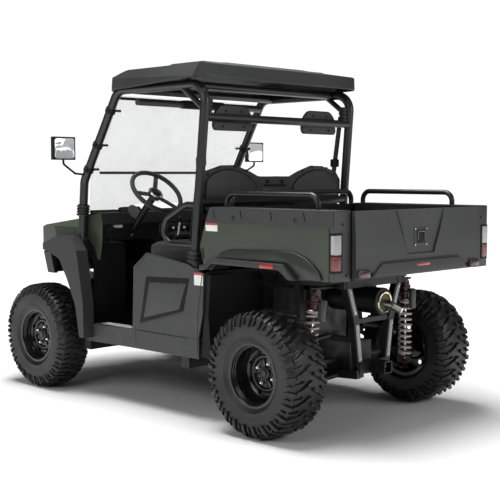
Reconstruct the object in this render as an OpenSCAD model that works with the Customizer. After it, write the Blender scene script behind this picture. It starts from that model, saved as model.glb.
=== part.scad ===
// Utility side by side: two-seat off-road vehicle with a roll cage, a roof and a tipping cargo bed.
// Frame: +X forward, +Y to the vehicle's left, +Z up. The origin is on the ground, midway between
// the ends and the sides. Lengths are in millimetres.

/* [Overall] */
// Distance between the axles
wheelbase = 1860; // [1500:10:2300]
// Rear axle to the tailgate's rearmost face
rear_overhang = 485; // [420:5:600]
// Front axle to the bumper's foremost point
front_overhang = 445; // [400:5:540]
// Width over the body panels
body_w = 1290; // [1080:10:1560]
// Height of the roof's crown above the ground
roof_z = 1925; // [1870:5:2320]

/* [Wheels] */
// Outer diameter of every tyre
tyre_d = 635; // [530:5:680]
// Section width of a rear tyre
rear_tyre_w = 250; // [200:5:260]
// Section width of a front tyre
front_tyre_w = 206; // [170:2:216]
// Diameter over a rim's lips
rim_d = 330; // [300:2:360]
// Tyre centre to tyre centre, rear
rear_track = 1238; // [1210:2:1500]
// Tyre centre to tyre centre, front
front_track = 1268; // [1230:2:1520]

/* [Roll cage] */
// Diameter of the main cage tubes
cage_d = 50; // [38:1:56]
// Diameter of the elbow guard and brace tubes
guard_d = 32; // [22:1:38]

/* [Cargo bed] */
// Height of the bed's top rim above the ground
bed_rim_z = 1130; // [1080:5:1240]
// Height of the bed floor's upper face
bed_floor_z = 842; // [836:1:900]
// Thickness of the bed's floor and walls
bed_wall = 12; // [8:1:16]
// Width of the tailgate
gate_w = 1046; // [860:2:1090]
// Diameter of the bed's rail tubes
rail_d = 28; // [20:1:34]
// Bend radius of the bed rails
rail_bend_r = 50; // [40:1:55]

/* [Hitch] */
// Inside width of the square receiver tube
receiver_w = 51; // [38:1:64]
// Wall of the receiver tube
receiver_wall = 6; // [4:0.5:8]
// Diameter of the cross hole for the hitch pin
hitch_pin_d = 16; // [12:0.5:17]

/* [Hidden] */
$fn = 48;

fit = 0.3;                    // gap between pieces that seat on each other
gap = 6;                      // gap between pieces that move past each other
hw = body_w / 2;              // half width over the body panels
tyre_r = tyre_d / 2;
rim_r = rim_d / 2;
axle_z = tyre_r;
overall_l = wheelbase + rear_overhang + front_overhang;
x_ra = rear_overhang - overall_l / 2;      // rear axle
x_fa = x_ra + wheelbase;                   // front axle
function xr(v) = x_ra + v;                 // v forward of the rear axle
function xf(v) = x_fa + v;                 // v forward of the front axle

// Colours
green = [0.20, 0.23, 0.19];
dark = [0.16, 0.16, 0.17];
black = [0.06, 0.06, 0.06];
steel = [0.55, 0.55, 0.57];

// ---------- shapes ----------
module both_sides() {
  children();
  mirror([0, 1, 0]) children();
}
// Round rod from p to q
module rod(p, q, d) {
  v = q - p;
  translate(p) rotate([0, acos(v.z / norm(v)), atan2(v.y, v.x)]) cylinder(h = norm(v), d = d);
}
// Square bar from p to q, w wide across the level direction and h deep
module bar(p, q, w, h) {
  v = q - p;
  translate(p) rotate([0, -asin(v.z / norm(v)), atan2(v.y, v.x)])
    translate([0, -w / 2, -h / 2]) cube([norm(v), w, h]);
}
function unit(v) = v / norm(v);
// Length of straight tube that a bend of radius r at point i takes up
function bend_in(pts, i, r) = i == 0 || i == len(pts) - 1 ? 0 :
  let (u = unit(pts[i - 1] - pts[i]), v = unit(pts[i + 1] - pts[i])) r / tan(acos(u * v) / 2);
bend_lap = 2;                 // length of straight tube inside each end of a bend
// Tube of diameter d along a list of points, with bends of radius r
module bent(pts, d, r) {
  for (i = [0 : len(pts) - 2]) {
    v = unit(pts[i + 1] - pts[i]);
    rod(pts[i] + v * max(0, bend_in(pts, i, r) - bend_lap), pts[i + 1] - v * max(0, bend_in(pts, i + 1, r) - bend_lap), d);
  }
  for (i = [1 : len(pts) - 2]) elbow(pts[i - 1], pts[i], pts[i + 1], d + 0.8, r);
}
// Bend of radius r at point b, between the lines to a and to c
module elbow(a, b, c, d, r) {
  u = unit(a - b);
  v = unit(c - b);
  half = acos(u * v) / 2;
  centre = b + unit(u + v) * r / sin(half);
  e1 = unit(b + u * r / tan(half) - centre);
  n = unit(cross(e1, unit(b + v * r / tan(half) - centre)));
  e2 = cross(n, e1);
  multmatrix([[e1.x, e2.x, n.x, centre.x], [e1.y, e2.y, n.y, centre.y], [e1.z, e2.z, n.z, centre.z], [0, 0, 0, 1]])
    rotate_extrude(angle = 180 - 2 * half) translate([r, 0]) circle(d = d);
}
// Box from low corner a to high corner b
module box(a, b) {
  translate(a) cube(b - a);
}
// Polygon of [x, z] points, extruded between y0 and y1
module slab_y(pts, y0, y1) {
  translate([0, y1, 0]) rotate([90, 0, 0]) linear_extrude(y1 - y0) polygon(pts);
}
// Polygon of [y, z] points, extruded between x0 and x1
module slab_x(pts, x0, x1) {
  translate([x0, 0, 0]) rotate([90, 0, 90]) linear_extrude(x1 - x0) polygon(pts);
}
// Polygon of [x, y] points, extruded between z0 and z1
module slab_z(pts, z0, z1) {
  translate([0, 0, z0]) linear_extrude(z1 - z0) polygon(pts);
}

// ---------- roll cage ----------
cage_base_y = hw - 38;
cage_top_y = hw - 55;
cage_top_z = roof_z - 150;
cage_bend = 90;
guard_bend = 70;
sill_bar_z = 310;             // outriggers that carry the cage, centre height
cage_foot_z = sill_bar_z + 40 + fit;
foot_plate = [60, 50, 8];
post_foot = [xr(586), cage_base_y, cage_foot_z + foot_plate.z / 2];
post_elbow = [xr(466), cage_top_y, cage_top_z - 46];
rail_rear = [xr(540), cage_top_y, cage_top_z];
pillar_top = [xf(-664), cage_top_y, cage_top_z];
pillar_bend = [xf(-362), cage_base_y, 1262];
pillar_knee = [xf(-330), cage_base_y, 905];
pillar_foot = [xf(-408), cage_base_y, cage_foot_z + foot_plate.z / 2];
crossbar_z = 1600;
crossbar_d = cage_d - 6;
lower_bar_z = 1152;
clamp_heights = [1665, 1470, 1330];
clamp_d = 14;
function between(p, q, z) = p + (q - p) * (z - p.z) / (q.z - p.z);
function on_post(z) = between(post_foot, post_elbow, z);
function on_pillar(z) = between(pillar_bend, pillar_top, z);
function mirrored(p) = [p.x, -p.y, p.z];

module cage_side() {
  bent([post_foot, post_elbow, rail_rear, pillar_top, pillar_bend, pillar_knee, pillar_foot], cage_d, cage_bend);
  rod(on_post(1640), [xr(660), cage_top_y, cage_top_z], guard_d);
  bent([on_post(1140), [xr(600), cage_base_y, 1142], [xr(769), cage_base_y, 1057], [xr(790), cage_base_y, 974],
        [xr(730), cage_base_y, 927], on_post(927)], guard_d, guard_bend);
  for (z = clamp_heights) rod(on_pillar(z), on_pillar(z) - [0, 72, 0], clamp_d);
  for (p = [post_foot, pillar_foot])
    translate([p.x - foot_plate.x / 2, p.y - foot_plate.y / 2, cage_foot_z]) cube(foot_plate);
}
module roll_cage() {
  color(black) {
    both_sides() cage_side();
    for (p = [on_post(crossbar_z), on_post(lower_bar_z), [xr(610), cage_top_y, cage_top_z], pillar_top - [90, 0, 0]])
      rod(p, mirrored(p), crossbar_d);
  }
}

// ---------- roof ----------
roof_rear_x = xr(450);
roof_front_x = xf(-600);
roof_edge_z = roof_z - 115;
// Side, plan and end outlines of the roof, drawn in by t
function roof_side(t) = [
  [roof_rear_x + t, roof_edge_z - 60], [roof_rear_x + t, roof_edge_z], [roof_rear_x + 24 + t, roof_z - 44 - t],
  [roof_rear_x + 150, roof_z - 14 - t], [roof_rear_x + 310, roof_z - t], [roof_front_x - 300, roof_z - 22 - t],
  [roof_front_x - 165, roof_z - 56 - t], [roof_front_x - 60, roof_z - 92 - t],
  [roof_front_x - t, roof_z - 124], [roof_front_x - t, roof_edge_z - 60]
];
function roof_plan(t) = [
  [roof_rear_x + t, -hw + 40 + t], [roof_rear_x + 40 + t, -hw - 18 + t], [roof_front_x - 90 - t, -hw - 5 + t],
  [roof_front_x - t, -hw + 60 + t], [roof_front_x - t, hw - 60 - t], [roof_front_x - 90 - t, hw + 5 - t],
  [roof_rear_x + 40 + t, hw + 18 - t], [roof_rear_x + t, hw - 40 - t]
];
function roof_end(t) = [
  [-hw - 18 + t, roof_edge_z - 80], [-hw - 18 + t, roof_edge_z], [-hw + 14 + t, roof_z - 46 - t],
  [-330, roof_z - 24 - t], [-292, roof_z - t], [292, roof_z - t], [330, roof_z - 24 - t],
  [hw - 14 - t, roof_z - 46 - t], [hw + 18 - t, roof_edge_z], [hw + 18 - t, roof_edge_z - 80]
];
module roof_form(t) {
  intersection() {
    slab_y(roof_side(t), -hw - 40, hw + 40);
    slab_z(roof_plan(t), roof_edge_z - 100, roof_z + 20);
    slab_x(roof_end(t), roof_rear_x - 20, roof_front_x + 20);
  }
}
// The lower edge runs from the rear corners down to the front tip
module below_roof_edge() {
  slab_y([[roof_rear_x - 50, 1000], [roof_rear_x - 50, roof_edge_z], [roof_rear_x, roof_edge_z],
          [roof_front_x - 40, roof_z - 150], [roof_front_x + 50, roof_z - 156], [roof_front_x + 50, 1000]],
         -hw - 60, hw + 60);
}
roof_skin = 8;
module roof() {
  color(dark) {
    difference() {
      roof_form(0);
      roof_form(roof_skin);
      below_roof_edge();
    }
    both_sides() for (x = [xr(600), xf(-780)]) intersection() {
      translate([x, cage_top_y - 20, cage_top_z + cage_d / 2 + fit]) cube([40, 40, 200]);
      roof_form(roof_skin / 2);
    }
  }
}

// ---------- windshield ----------
glass_t = 5;
glass_off = clamp_d / 2 + glass_t / 2 + fit;   // glass centre plane ahead of the pillar centre line
glass_y = hw - 82;
module windshield() {
  up = pillar_top - pillar_bend;
  n = [-up.z, up.x] / norm([up.x, up.z]);
  top = [on_pillar(1745).x, 1745] - n * (glass_off - glass_t / 2);
  mid = [on_pillar(1280).x, 1280] - n * (glass_off - glass_t / 2);
  low = [mid.x + 12, 1064];
  color([0.8, 0.85, 0.85, 0.35])
    intersection() {
      slab_y([top, mid, low, low + [glass_t, 0], mid + [glass_t + 1, 2], top - n * glass_t], -glass_y, glass_y);
      slab_x([[-glass_y, cage_top_z], [-glass_y, 1070], [-400, 1086], [-193, 1118], [0, 1124], [193, 1118], [400, 1086],
              [glass_y, 1070], [glass_y, cage_top_z]], xf(-800), xf(-200));
    }
}

// ---------- wheels ----------
// Half section of a tyre about its own axis, [radius, offset]
function tyre_section(w, r, ri) = [
  [ri, -w * 0.40], [rim_r + 1, -w * 0.40], [rim_r + 9, -w * 0.45], [(r + ri) / 2, -w * 0.5], [r - 46, -w * 0.485], [r - 16, -w * 0.43],
  [r, -w * 0.34], [r, w * 0.34], [r - 16, w * 0.43], [r - 46, w * 0.485], [(r + ri) / 2, w * 0.5],
  [rim_r + 9, w * 0.45], [rim_r + 1, w * 0.40], [ri, w * 0.40], [ri, w * 0.34], [ri + 8, w * 0.30], [ri + 8, -w * 0.30], [ri, -w * 0.34]
];
bead_r = rim_r - 12;
module tyre(w) {
  color(black) rotate([-90, 0, 0]) rotate_extrude($fn = 96) polygon(tyre_section(w, tyre_r, bead_r));
}
hub_r = 55;
stub_d = 44;
disc_t = 8;
// Rim with its disc, hub and brake disc. disc_y is the disc's outer face, stub_y the stub's inner end
module rim(w, disc_y, stub_y) {
  color(black) rotate([-90, 0, 0]) difference() {
    rotate_extrude($fn = 96) polygon([
      [rim_r, w * 0.42], [rim_r, w * 0.405], [bead_r - fit, w * 0.40], [bead_r - fit, w * 0.28],
      [bead_r - 16, w * 0.22], [bead_r - 16, -w * 0.22], [bead_r - fit, -w * 0.28], [bead_r - fit, -w * 0.40],
      [rim_r, -w * 0.405], [rim_r, -w * 0.42], [bead_r - 6, -w * 0.41], [bead_r - 6, -w * 0.27],
      [bead_r - 21, -w * 0.20], [bead_r - 21, disc_y - disc_t], [85, disc_y - disc_t], [70, disc_y - 22],
      [hub_r, disc_y - 22], [hub_r, stub_y + 34], [stub_d / 2, stub_y + 34], [stub_d / 2, stub_y],
      [0, stub_y], [0, disc_y + 18], [30, disc_y + 18], [34, disc_y - 6], [70, disc_y - 6],
      [85, disc_y + 4], [bead_r - 21, disc_y + 4], [bead_r - 21, w * 0.20], [bead_r - 6, w * 0.27], [bead_r - 6, w * 0.41]
    ]);
    for (i = [0 : 7]) rotate([0, 0, i * 45 + 22.5]) translate([108, 0, disc_y - 30]) cylinder(h = 60, d = 24);
  }
}
rear_disc_y = 4;        // outer face of the rear disc, out from the tyre's centre plane
front_disc_y = 30;
rear_wheel_y = rear_track / 2;
front_wheel_y = front_track / 2;
rear_stub_y = rear_disc_y - 92;
front_stub_y = front_disc_y - 92;
module at_wheel(x, y) {
  translate([x, y, axle_z]) children();
}

// ---------- front knuckles ----------
kingpin_y = front_wheel_y - 98;
ball_low = 96;          // lower ball joint below the axle
ball_high = 96;
carrier_out = front_wheel_y + front_stub_y + 30;
steer_arm = 100;
arm_top = 42;             // top of the steering arm above the axle
module front_knuckle() {
  at_wheel(x_fa, 0) color(steel) {
    difference() {
      union() {
        translate([0, kingpin_y, 0]) rotate([-90, 0, 0]) cylinder(h = carrier_out - kingpin_y, d = 92);
        box([-17, kingpin_y - 17, -ball_low + 8], [17, kingpin_y + 17, ball_high - 8]);
        box([-steer_arm - 14, kingpin_y - 14, arm_top - 12], [0, kingpin_y + 14, arm_top]);
        box([20, kingpin_y + 5, 20], [58, carrier_out - 6, 92]);
      }
      translate([0, kingpin_y + 20, 0]) rotate([-90, 0, 0]) cylinder(h = 200, d = stub_d + 2 * fit);
    }
  }
}

// ---------- rear knuckles ----------
rear_carrier_out = rear_wheel_y + rear_stub_y + 30;
rear_ball_y = rear_wheel_y - 118;
ball_half = 17;
// Ball joints, seated on the knuckles' ends
front_low_ball = [x_fa, kingpin_y, axle_z - ball_low + 8 - ball_half - fit];
front_high_ball = [x_fa, kingpin_y, axle_z + ball_high - 8 + ball_half + fit];
rear_low_ball = [x_ra, rear_ball_y, axle_z - ball_low + 10 - ball_half - fit];
rear_high_ball = [x_ra, rear_ball_y, axle_z + ball_high - 10 + ball_half + fit];
arm_d = 26;
tie_d = arm_d - 6;
upper_arm_z = 470;
function tie_z(ball, y_in, z_in, y) = z_in + (ball.z - z_in) * (y - y_in) / (ball.y - y_in);
module rear_knuckles() {
  color(steel) both_sides() at_wheel(x_ra, 0) difference() {
    union() {
      translate([0, rear_carrier_out - 44, 0]) rotate([-90, 0, 0]) cylinder(h = 44, d = 92);
      box([-20, rear_ball_y - 16, -ball_low + 10], [20, rear_ball_y + 16, ball_high - 10]);
    }
    translate([0, rear_ball_y + 10, 0]) rotate([-90, 0, 0]) cylinder(h = 200, d = stub_d + 2 * fit);
  }
}

// ---------- frame ----------
rail_y = 190;
frame_w = 50;
rail_z = 270;                 // lower rails, centre height
deck_z = 742;                 // upper rails that carry the bed, centre height
arm_x = xr(-172);             // rear frame arms, under the bed's hinge
cab_rear_x = xr(440);
deck_end_x = xr(310);         // cross rail that the bed's front rests on
nose_y = 170;
nose_z = 640;
pivot_z = deck_z + 34;        // bed hinge axis
pivot_d = 20;
hinge_y = [244, 256];         // hinge bracket, inner and outer face
runner_y = [262, 302];        // bed runner, inner and outer face
runner_z = deck_z + 40;       // bottom of the bed's runners
cross_x = [xr(150), cab_rear_x, xr(900), xf(-460), xf(-160), xf(170)];
module rear_frame() {
  both_sides() {
    bar([arm_x, 103, rail_z - 22], [arm_x, 148, 552], 34, 44);
    bar([arm_x, 146, 545], [arm_x, 215, deck_z], 38, 44);
    bar([arm_x - 22, 215, deck_z], [cab_rear_x + 20, 215, deck_z], 40, 40);
    bar([cab_rear_x, 215, rail_z + 20], [cab_rear_x, 215, deck_z], 40, 40);
    bar([xr(150), rail_y, rail_z], [xr(150), 215, deck_z], 36, 36);
    difference() {
      box([arm_x - 22, hinge_y[0], deck_z - 20], [arm_x + 22, hinge_y[1], pivot_z + 22]);
      translate([arm_x, 200, pivot_z]) rotate([-90, 0, 0]) cylinder(h = 100, d = pivot_d + 2 * fit);
    }
    box([deck_end_x - 20, runner_y[0], deck_z], [deck_end_x + 20, runner_y[1], runner_z - fit]);
  }
  bar([arm_x, -hinge_y[1], deck_z], [arm_x, hinge_y[1], deck_z], 40, 40);
  bar([arm_x, -140, 545], [arm_x, 140, 545], 24, 24);
  bar([deck_end_x, -runner_y[1], deck_z], [deck_end_x, runner_y[1], deck_z], 40, 40);
  bar([arm_x, -120, rail_z + 30], [arm_x, 120, rail_z + 30], 44, 64);
}
module front_frame() {
  both_sides() for (x = [xf(-190), xf(170)]) box([x - 18, nose_y - 18, rail_z], [x + 18, nose_y + 18, nose_z + 18]);
  both_sides() bar([xf(-208), nose_y, nose_z], [xf(250), nose_y, nose_z], 36, 40);
  for (x = [xf(-190), xf(170)]) bar([x, -nose_y, nose_z], [x, nose_y, nose_z], 36, 30);
}
// Shock towers carry the dampers' upper eyes
tower_z = 764;
eye_d = [40, 30];             // damper eyes, upper and lower
low_arm_y = rail_y + frame_w / 2 + 5.3;
front_high_y = rail_y + 25;
on_tie = tie_d / 2 + eye_d[1] / 2 + fit;
rear_damper = [[xr(-114), 372, deck_z - 17 - eye_d[0] / 2 - fit],
               [xr(-75), 424, tie_z(rear_low_ball, low_arm_y, rail_z, 424) + on_tie]];
front_damper = [[xf(20), 318, tower_z - 10 - eye_d[0] / 2 - fit],
                [xf(0), 400, tie_z(front_high_ball, front_high_y, upper_arm_z, 400) + on_tie]];
module towers() {
  both_sides() {
    bar([rear_damper[0].x, 225, deck_z - 12], [rear_damper[0].x, rear_damper[0].y + 24, deck_z - 12], 44, 10);
    box([front_damper[0].x - 22, nose_y - 15, nose_z], [front_damper[0].x + 22, nose_y + 15, tower_z]);
    box([front_damper[0].x - 22, nose_y, tower_z - 10], [front_damper[0].x + 22, front_damper[0].y + 24, tower_z]);
  }
  box([front_damper[0].x - 18, -nose_y, tower_z - 30], [front_damper[0].x + 18, nose_y, tower_z]);
}
module chassis_frame() {
  color(black) {
    both_sides() {
      bar([arm_x - 20, rail_y - 60, rail_z], [xr(20), rail_y, rail_z], 44, 44);
      bar([xr(0), rail_y, rail_z], [xf(200), rail_y, rail_z], frame_w, frame_w);
      for (x = [post_foot.x, pillar_foot.x])
        box([x - 30, rail_y, sill_bar_z - 40], [x + 30, cage_base_y + cage_d / 2, sill_bar_z + 40]);
    }
    for (x = cross_x) bar([x, -rail_y, rail_z], [x, rail_y, rail_z], 44, 44);
    rear_frame();
    front_frame();
    towers();
  }
}
module skid_plate() {
  color(black) slab_z([[xr(60), -230], [xf(150), -230], [xf(260), -150], [xf(260), 150], [xf(150), 230], [xr(60), 230]],
                      rail_z - 25 - fit - 4, rail_z - 25 - fit);
}

// ---------- cab ----------
floor_z = sill_bar_z + 40 + fit;
floor_y = hw - 70;
panel_t = 5;
seat_front_x = xr(985);
bulkhead_x = xf(-395);
skin_y = hw - 12;             // inner face of the cab's side panels
sill_z = 437;
sill_rear_x = xr(466);
tunnel_y = 65;
tunnel_z = 392;
seat_box_z = 826;
deck_top_z = seat_box_z - 22;
module floor_pan() {
  color(dark) difference() {
    union() {
      box([xr(470), -floor_y, floor_z], [bulkhead_x, floor_y, floor_z + panel_t]);
      both_sides() box([xr(470), floor_y - panel_t, floor_z], [bulkhead_x, floor_y, sill_z - 14]);
      slab_y([[bulkhead_x - 1, floor_z], [bulkhead_x, floor_z], [xf(-250), 600], [xf(-250), 890],
              [xf(-256), 890], [xf(-256), 603], [bulkhead_x - 6, floor_z + 6]], -340, 340);
      both_sides() box([bulkhead_x - 6, 335, floor_z], [bulkhead_x, floor_y, 890]);
      both_sides() box([bulkhead_x - 6, 335, floor_z], [xf(-250), 340, 890]);
      slab_x([[-tunnel_y, floor_z], [-tunnel_y, tunnel_z], [tunnel_y, tunnel_z], [tunnel_y, floor_z]],
             xr(490), xf(-330));
    }
    slab_x([[-tunnel_y + panel_t, floor_z - 5], [-tunnel_y + panel_t, tunnel_z - panel_t],
            [tunnel_y - panel_t, tunnel_z - panel_t], [tunnel_y - panel_t, floor_z - 5]], xr(400), xf(-300));
  }
}
module rocker_sills() {
  color(dark) both_sides() difference() {
    slab_y([[sill_rear_x, 332], [xr(1020), 330], [xf(-420), 324], [xf(-420), 400], [xf(-455), 425], [xr(1020), sill_z], [sill_rear_x, sill_z]],
           floor_y + fit, hw);
    slab_y([[xr(400), 300], [xf(-300), 300], [xf(-300), 380], [xf(-455), 410], [xr(1020), sill_z - 12], [xr(400), sill_z - 12]],
           floor_y - 5, skin_y);
    for (p = [post_foot, between(pillar_foot, pillar_knee, 430)]) translate([p.x, p.y, 380]) cylinder(h = 100, d = cage_d + 16);
  }
}
// Side panels below the seats, with the deck that carries the cushions and the boards before and behind it
under_panel = [[xr(470), sill_z + fit], [xr(1015), sill_z + fit], [xr(1003), 789], [xr(890), 872], [xr(548), 826],
               [xr(500), 800], [xr(424), 786], [xr(436), 571]];
board_y = floor_y - panel_t - fit;
module seat_base_panels() {
  color(dark) {
    both_sides() difference() {
      slab_y(under_panel, skin_y, hw);
      slab_y([[xr(948), 478], [xr(892), 740], [xr(538), 754], [xr(584), 576]], hw - 4, hw + 5);
    }
    difference() {
      box([seat_front_x - 8, -board_y, floor_z + panel_t + fit], [seat_front_x, board_y, deck_top_z]);
      box([xr(900), -tunnel_y - fit, floor_z], [xr(1100), tunnel_y + fit, tunnel_z + fit]);
    }
    box([xr(600), -floor_y, deck_top_z - 8], [seat_front_x - 4, floor_y, deck_top_z]);
    box([xr(480), -board_y, floor_z + panel_t + fit], [xr(488), board_y, deck_top_z - 20]);
  }
}
module wheel_arch_liners() {
  color(black) both_sides()
    slab_y([[xr(380), 340], [sill_rear_x - fit, 340], [xr(436) - fit, 571], [xr(424) - fit, 780], [xr(386), 780], [xr(406), 571]],
           262, skin_y - fit);
}

// ---------- seats ----------
cushion_z = 930;
seat_shell_x = xr(528);
seat_half = hw - 70;
seat_back_y = seat_half - 45;
shell_t = 14;
crossbar_front = on_post(crossbar_z).x + crossbar_d / 2;
module seat_cushions() {
  color(black) both_sides() slab_y([[xr(612), deck_top_z + fit], [seat_front_x + 10, deck_top_z + fit],
    [seat_front_x + 20, cushion_z - 20], [seat_front_x - 30, cushion_z], [xr(612), cushion_z - 24]], 12, seat_half - 22);
}
module seat_backs() {
  color(black) both_sides() slab_y([[xr(594), cushion_z + 4], [xr(700), cushion_z + 12], [xr(636), 1300], [xr(580), 1312],
    [seat_shell_x + shell_t + fit, 1300], [seat_shell_x + shell_t + fit, 1196], [xr(574) + fit, 1130]], 24, seat_back_y);
}
hump_y = 352;
module seat_shell() {
  low_z = cushion_z + 4;
  color(dark) intersection() {
    slab_y([[xr(580), low_z], [xr(594) - fit, low_z], [xr(574) , 1130], [seat_shell_x + shell_t, 1196], [seat_shell_x + shell_t, 1400],
            [seat_shell_x, 1400], [seat_shell_x, 1196], [xr(560), 1130]], -seat_half, seat_half);
    slab_x([[-seat_half, low_z], [-seat_half, 1270], [-seat_half + 40, 1318], [-hump_y - 60, 1350], [-hump_y + 40, 1352],
            [-200, 1318], [-130, 1290], [130, 1290], [200, 1318], [hump_y - 40, 1352], [hump_y + 60, 1350],
            [seat_half - 40, 1318], [seat_half, 1270], [seat_half, low_z]], xr(400), xr(700));
  }
  color(dark) both_sides() box([on_post(lower_bar_z).x + crossbar_d / 2 + fit, 280, lower_bar_z - 10], [xr(552), 340, lower_bar_z + 10]);
}
module headrests() {
  color(dark) for (s = [-1, 1]) translate([crossbar_front + fit, s * hump_y, crossbar_z])
    slab_x([[-135, -40], [-120, -62], [120, -62], [135, -40], [120, 30], [90, 66], [-90, 66], [-120, 30]], 0, 48);
}
reel_off = [16, -39, 0];
belt_y = cage_base_y - 55;
module seat_belts() {
  color(black) both_sides() {
    p = on_post(1672);
    q = on_post(1628);
    rod(p + reel_off, q + reel_off, 34);
    bar([q.x + reel_off.x + 18.2, belt_y, q.z + 12], [xr(616), belt_y, 945], 40, 3);
  }
}

// ---------- dash and controls ----------
dash_x = xf(-345) - fit;
dash_z = 905;
wheel_y = 320;
wheel_c = [xf(-678), wheel_y, 1198];
wheel_tilt = 45;
wheel_rim_d = 345;
column_d = 42;
column_dir = [sin(wheel_tilt), 0, -cos(wheel_tilt)];   // down the column, forward
rack_x = xf(-steer_arm);
rack_d = 16;
rack_z = axle_z + arm_top + gap + rack_d / 2;
module dashboard() {
  color(dark) {
    difference() {
      slab_y([[xf(-420), dash_z], [dash_x, dash_z], [dash_x, 1050], [xf(-380), 1078], [xf(-470), 1072], [xf(-500), 1010]],
             -floor_y, floor_y);
      slab_y([[xf(-412), dash_z - 10], [xf(-300), dash_z - 10], [xf(-300), 1026], [xf(-384), 1060], [xf(-462), 1058], [xf(-488), 1008]],
             -floor_y + 6, floor_y - 6);
      rod(wheel_c, wheel_c + column_dir * 400, column_d + 2 * fit);
    }
    for (s = [-1, 1]) slab_y([[xf(-470), tunnel_z + fit], [xf(-385), tunnel_z + fit], [xf(-300), 560],
                              [xf(-300), dash_z - fit], [xf(-420), dash_z - fit]], s * 85 - 25, s * 85 + 25);
  }
}
module steering_column() {
  color(black) {
    rod(wheel_c + column_dir * 62, wheel_c + column_dir * 300, column_d);
    difference() {
      union() {
        box([rack_x - 22, -rail_y + 5, rack_z - 20], [rack_x + 22, rail_y - 5, rack_z + 22]);
        both_sides() box([xf(-190) + 18 + fit, nose_y - 14, rack_z - 14], [rack_x, rail_y - 5, rack_z + 14]);
      }
      translate([rack_x, -300, rack_z]) rotate([-90, 0, 0]) cylinder(h = 600, d = rack_d + 2 * fit);
    }
  }
}
module steering_wheel() {
  color(black) translate(wheel_c) rotate([0, -wheel_tilt, 0]) {
    rotate_extrude($fn = 72) translate([wheel_rim_d / 2 - 14, 0]) circle(d = 27);
    translate([0, 0, -62 + fit]) cylinder(h = 30, d = 36);
    translate([0, 0, -36]) cylinder(h = 26, d1 = 80, d2 = 92);
    for (a = [90, 210, 330]) rotate([0, 0, a])
      bar([30, 0, -22], [wheel_rim_d / 2 - 16, 0, -2], 26, 9);
  }
}
module foot_pedals() {
  color(black) for (y = [wheel_y - 90, wheel_y - 20]) {
    box([xf(-290), y - 6, 800], [xf(-256) - fit, y + 6, 820]);
    bar([xf(-286), y, 812], [xf(-300), y, 690], 10, 10);
    box([xf(-312), y - 30, 668], [xf(-296), y + 30, 740]);
  }
}
module steering_rack() {
  color(steel) rod([rack_x, -kingpin_y, rack_z], [rack_x, kingpin_y, rack_z], rack_d);
}

// ---------- nose ----------
hood_z = 850;
hood_y = hw - 45;
function hood_plan(t) = [
  [xf(-345) - t, -hood_y + t], [xf(-60), -hood_y + 5 + t], [xf(140), -hood_y + 40 + t], [xf(250) - t, -470 + t],
  [xf(318) - t, -400 + t], [xf(318) - t, 400 - t], [xf(250) - t, 470 - t], [xf(140), hood_y - 40 - t],
  [xf(-60), hood_y - 5 - t], [xf(-345) - t, hood_y - t]
];
module hood() {
  color(green) difference() {
    intersection() {
      slab_y([[xf(-345), hood_z], [xf(-345), 1060], [xf(-60), 1034], [xf(165), 968], [xf(300), 900], [xf(318), 860], [xf(312), hood_z]],
             -hw + 40, hw - 40);
      slab_x([[-hood_y, hood_z], [-hood_y + 12, 985], [-380, 1030], [0, 1062], [380, 1030], [hood_y - 12, 985], [hood_y, hood_z]],
             xf(-400), xf(400));
      slab_z(hood_plan(0), hood_z - 10, 1100);
    }
    intersection() {
      slab_y([[xf(-400), 800], [xf(-400), 1046], [xf(-60), 1020], [xf(160), 956], [xf(285), 890], [xf(300), 800]], -hw, hw);
      slab_z(hood_plan(10), 700, 1100);
      slab_x([[-hood_y + 10, 800], [-hood_y + 22, 975], [-384, 1018], [0, 1050], [384, 1018], [hood_y - 22, 975],
              [hood_y - 10, 800]], xf(-500), xf(500));
    }
    both_sides() box([xf(-400), floor_y + 2, hood_z - 50], [xf(-295), hw, 1100]);
  }
}
fascia_low = 662;
module front_fascia() {
  color(dark) difference() {
    slab_x([[-400, fascia_low], [400, fascia_low], [430, 800], [400, hood_z - fit], [-400, hood_z - fit], [-430, 800]], xf(252), xf(330));
    slab_x([[-370, fascia_low - 20], [370, fascia_low - 20], [395, 800], [-395, 800]], xf(200), xf(318));
  }
}
module headlights() {
  color([0.9, 0.9, 0.85]) both_sides() slab_x([[250, 800], [400, 808], [380, 842], [270, 842]], xf(330) + fit, xf(350));
}
bumper_d = 38;
module front_bumper() {
  nose = front_overhang - bumper_d / 2;
  hoop = [[xf(330) + fit, 290, 775], [xf(366), 290, 775], [xf(nose), 352, 795]];
  skirt = [[xf(250) + fit, nose_y, nose_z], [xf(340), nose_y, nose_z], [xf(nose - 26), 340, 672]];
  color(black) {
    bent([hoop[0], hoop[1], hoop[2], mirrored(hoop[2]), mirrored(hoop[1]), mirrored(hoop[0])], bumper_d, 34);
    bent([skirt[0], skirt[1], skirt[2], mirrored(skirt[2]), mirrored(skirt[1]), mirrored(skirt[0])], bumper_d, 50);
    both_sides() rod([xf(nose - 26), 180, 672], [xf(nose), 180, 795], bumper_d - 8);
  }
}
fender_y = hw - 40 + fit;
fender_out = hw + 72;
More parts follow.
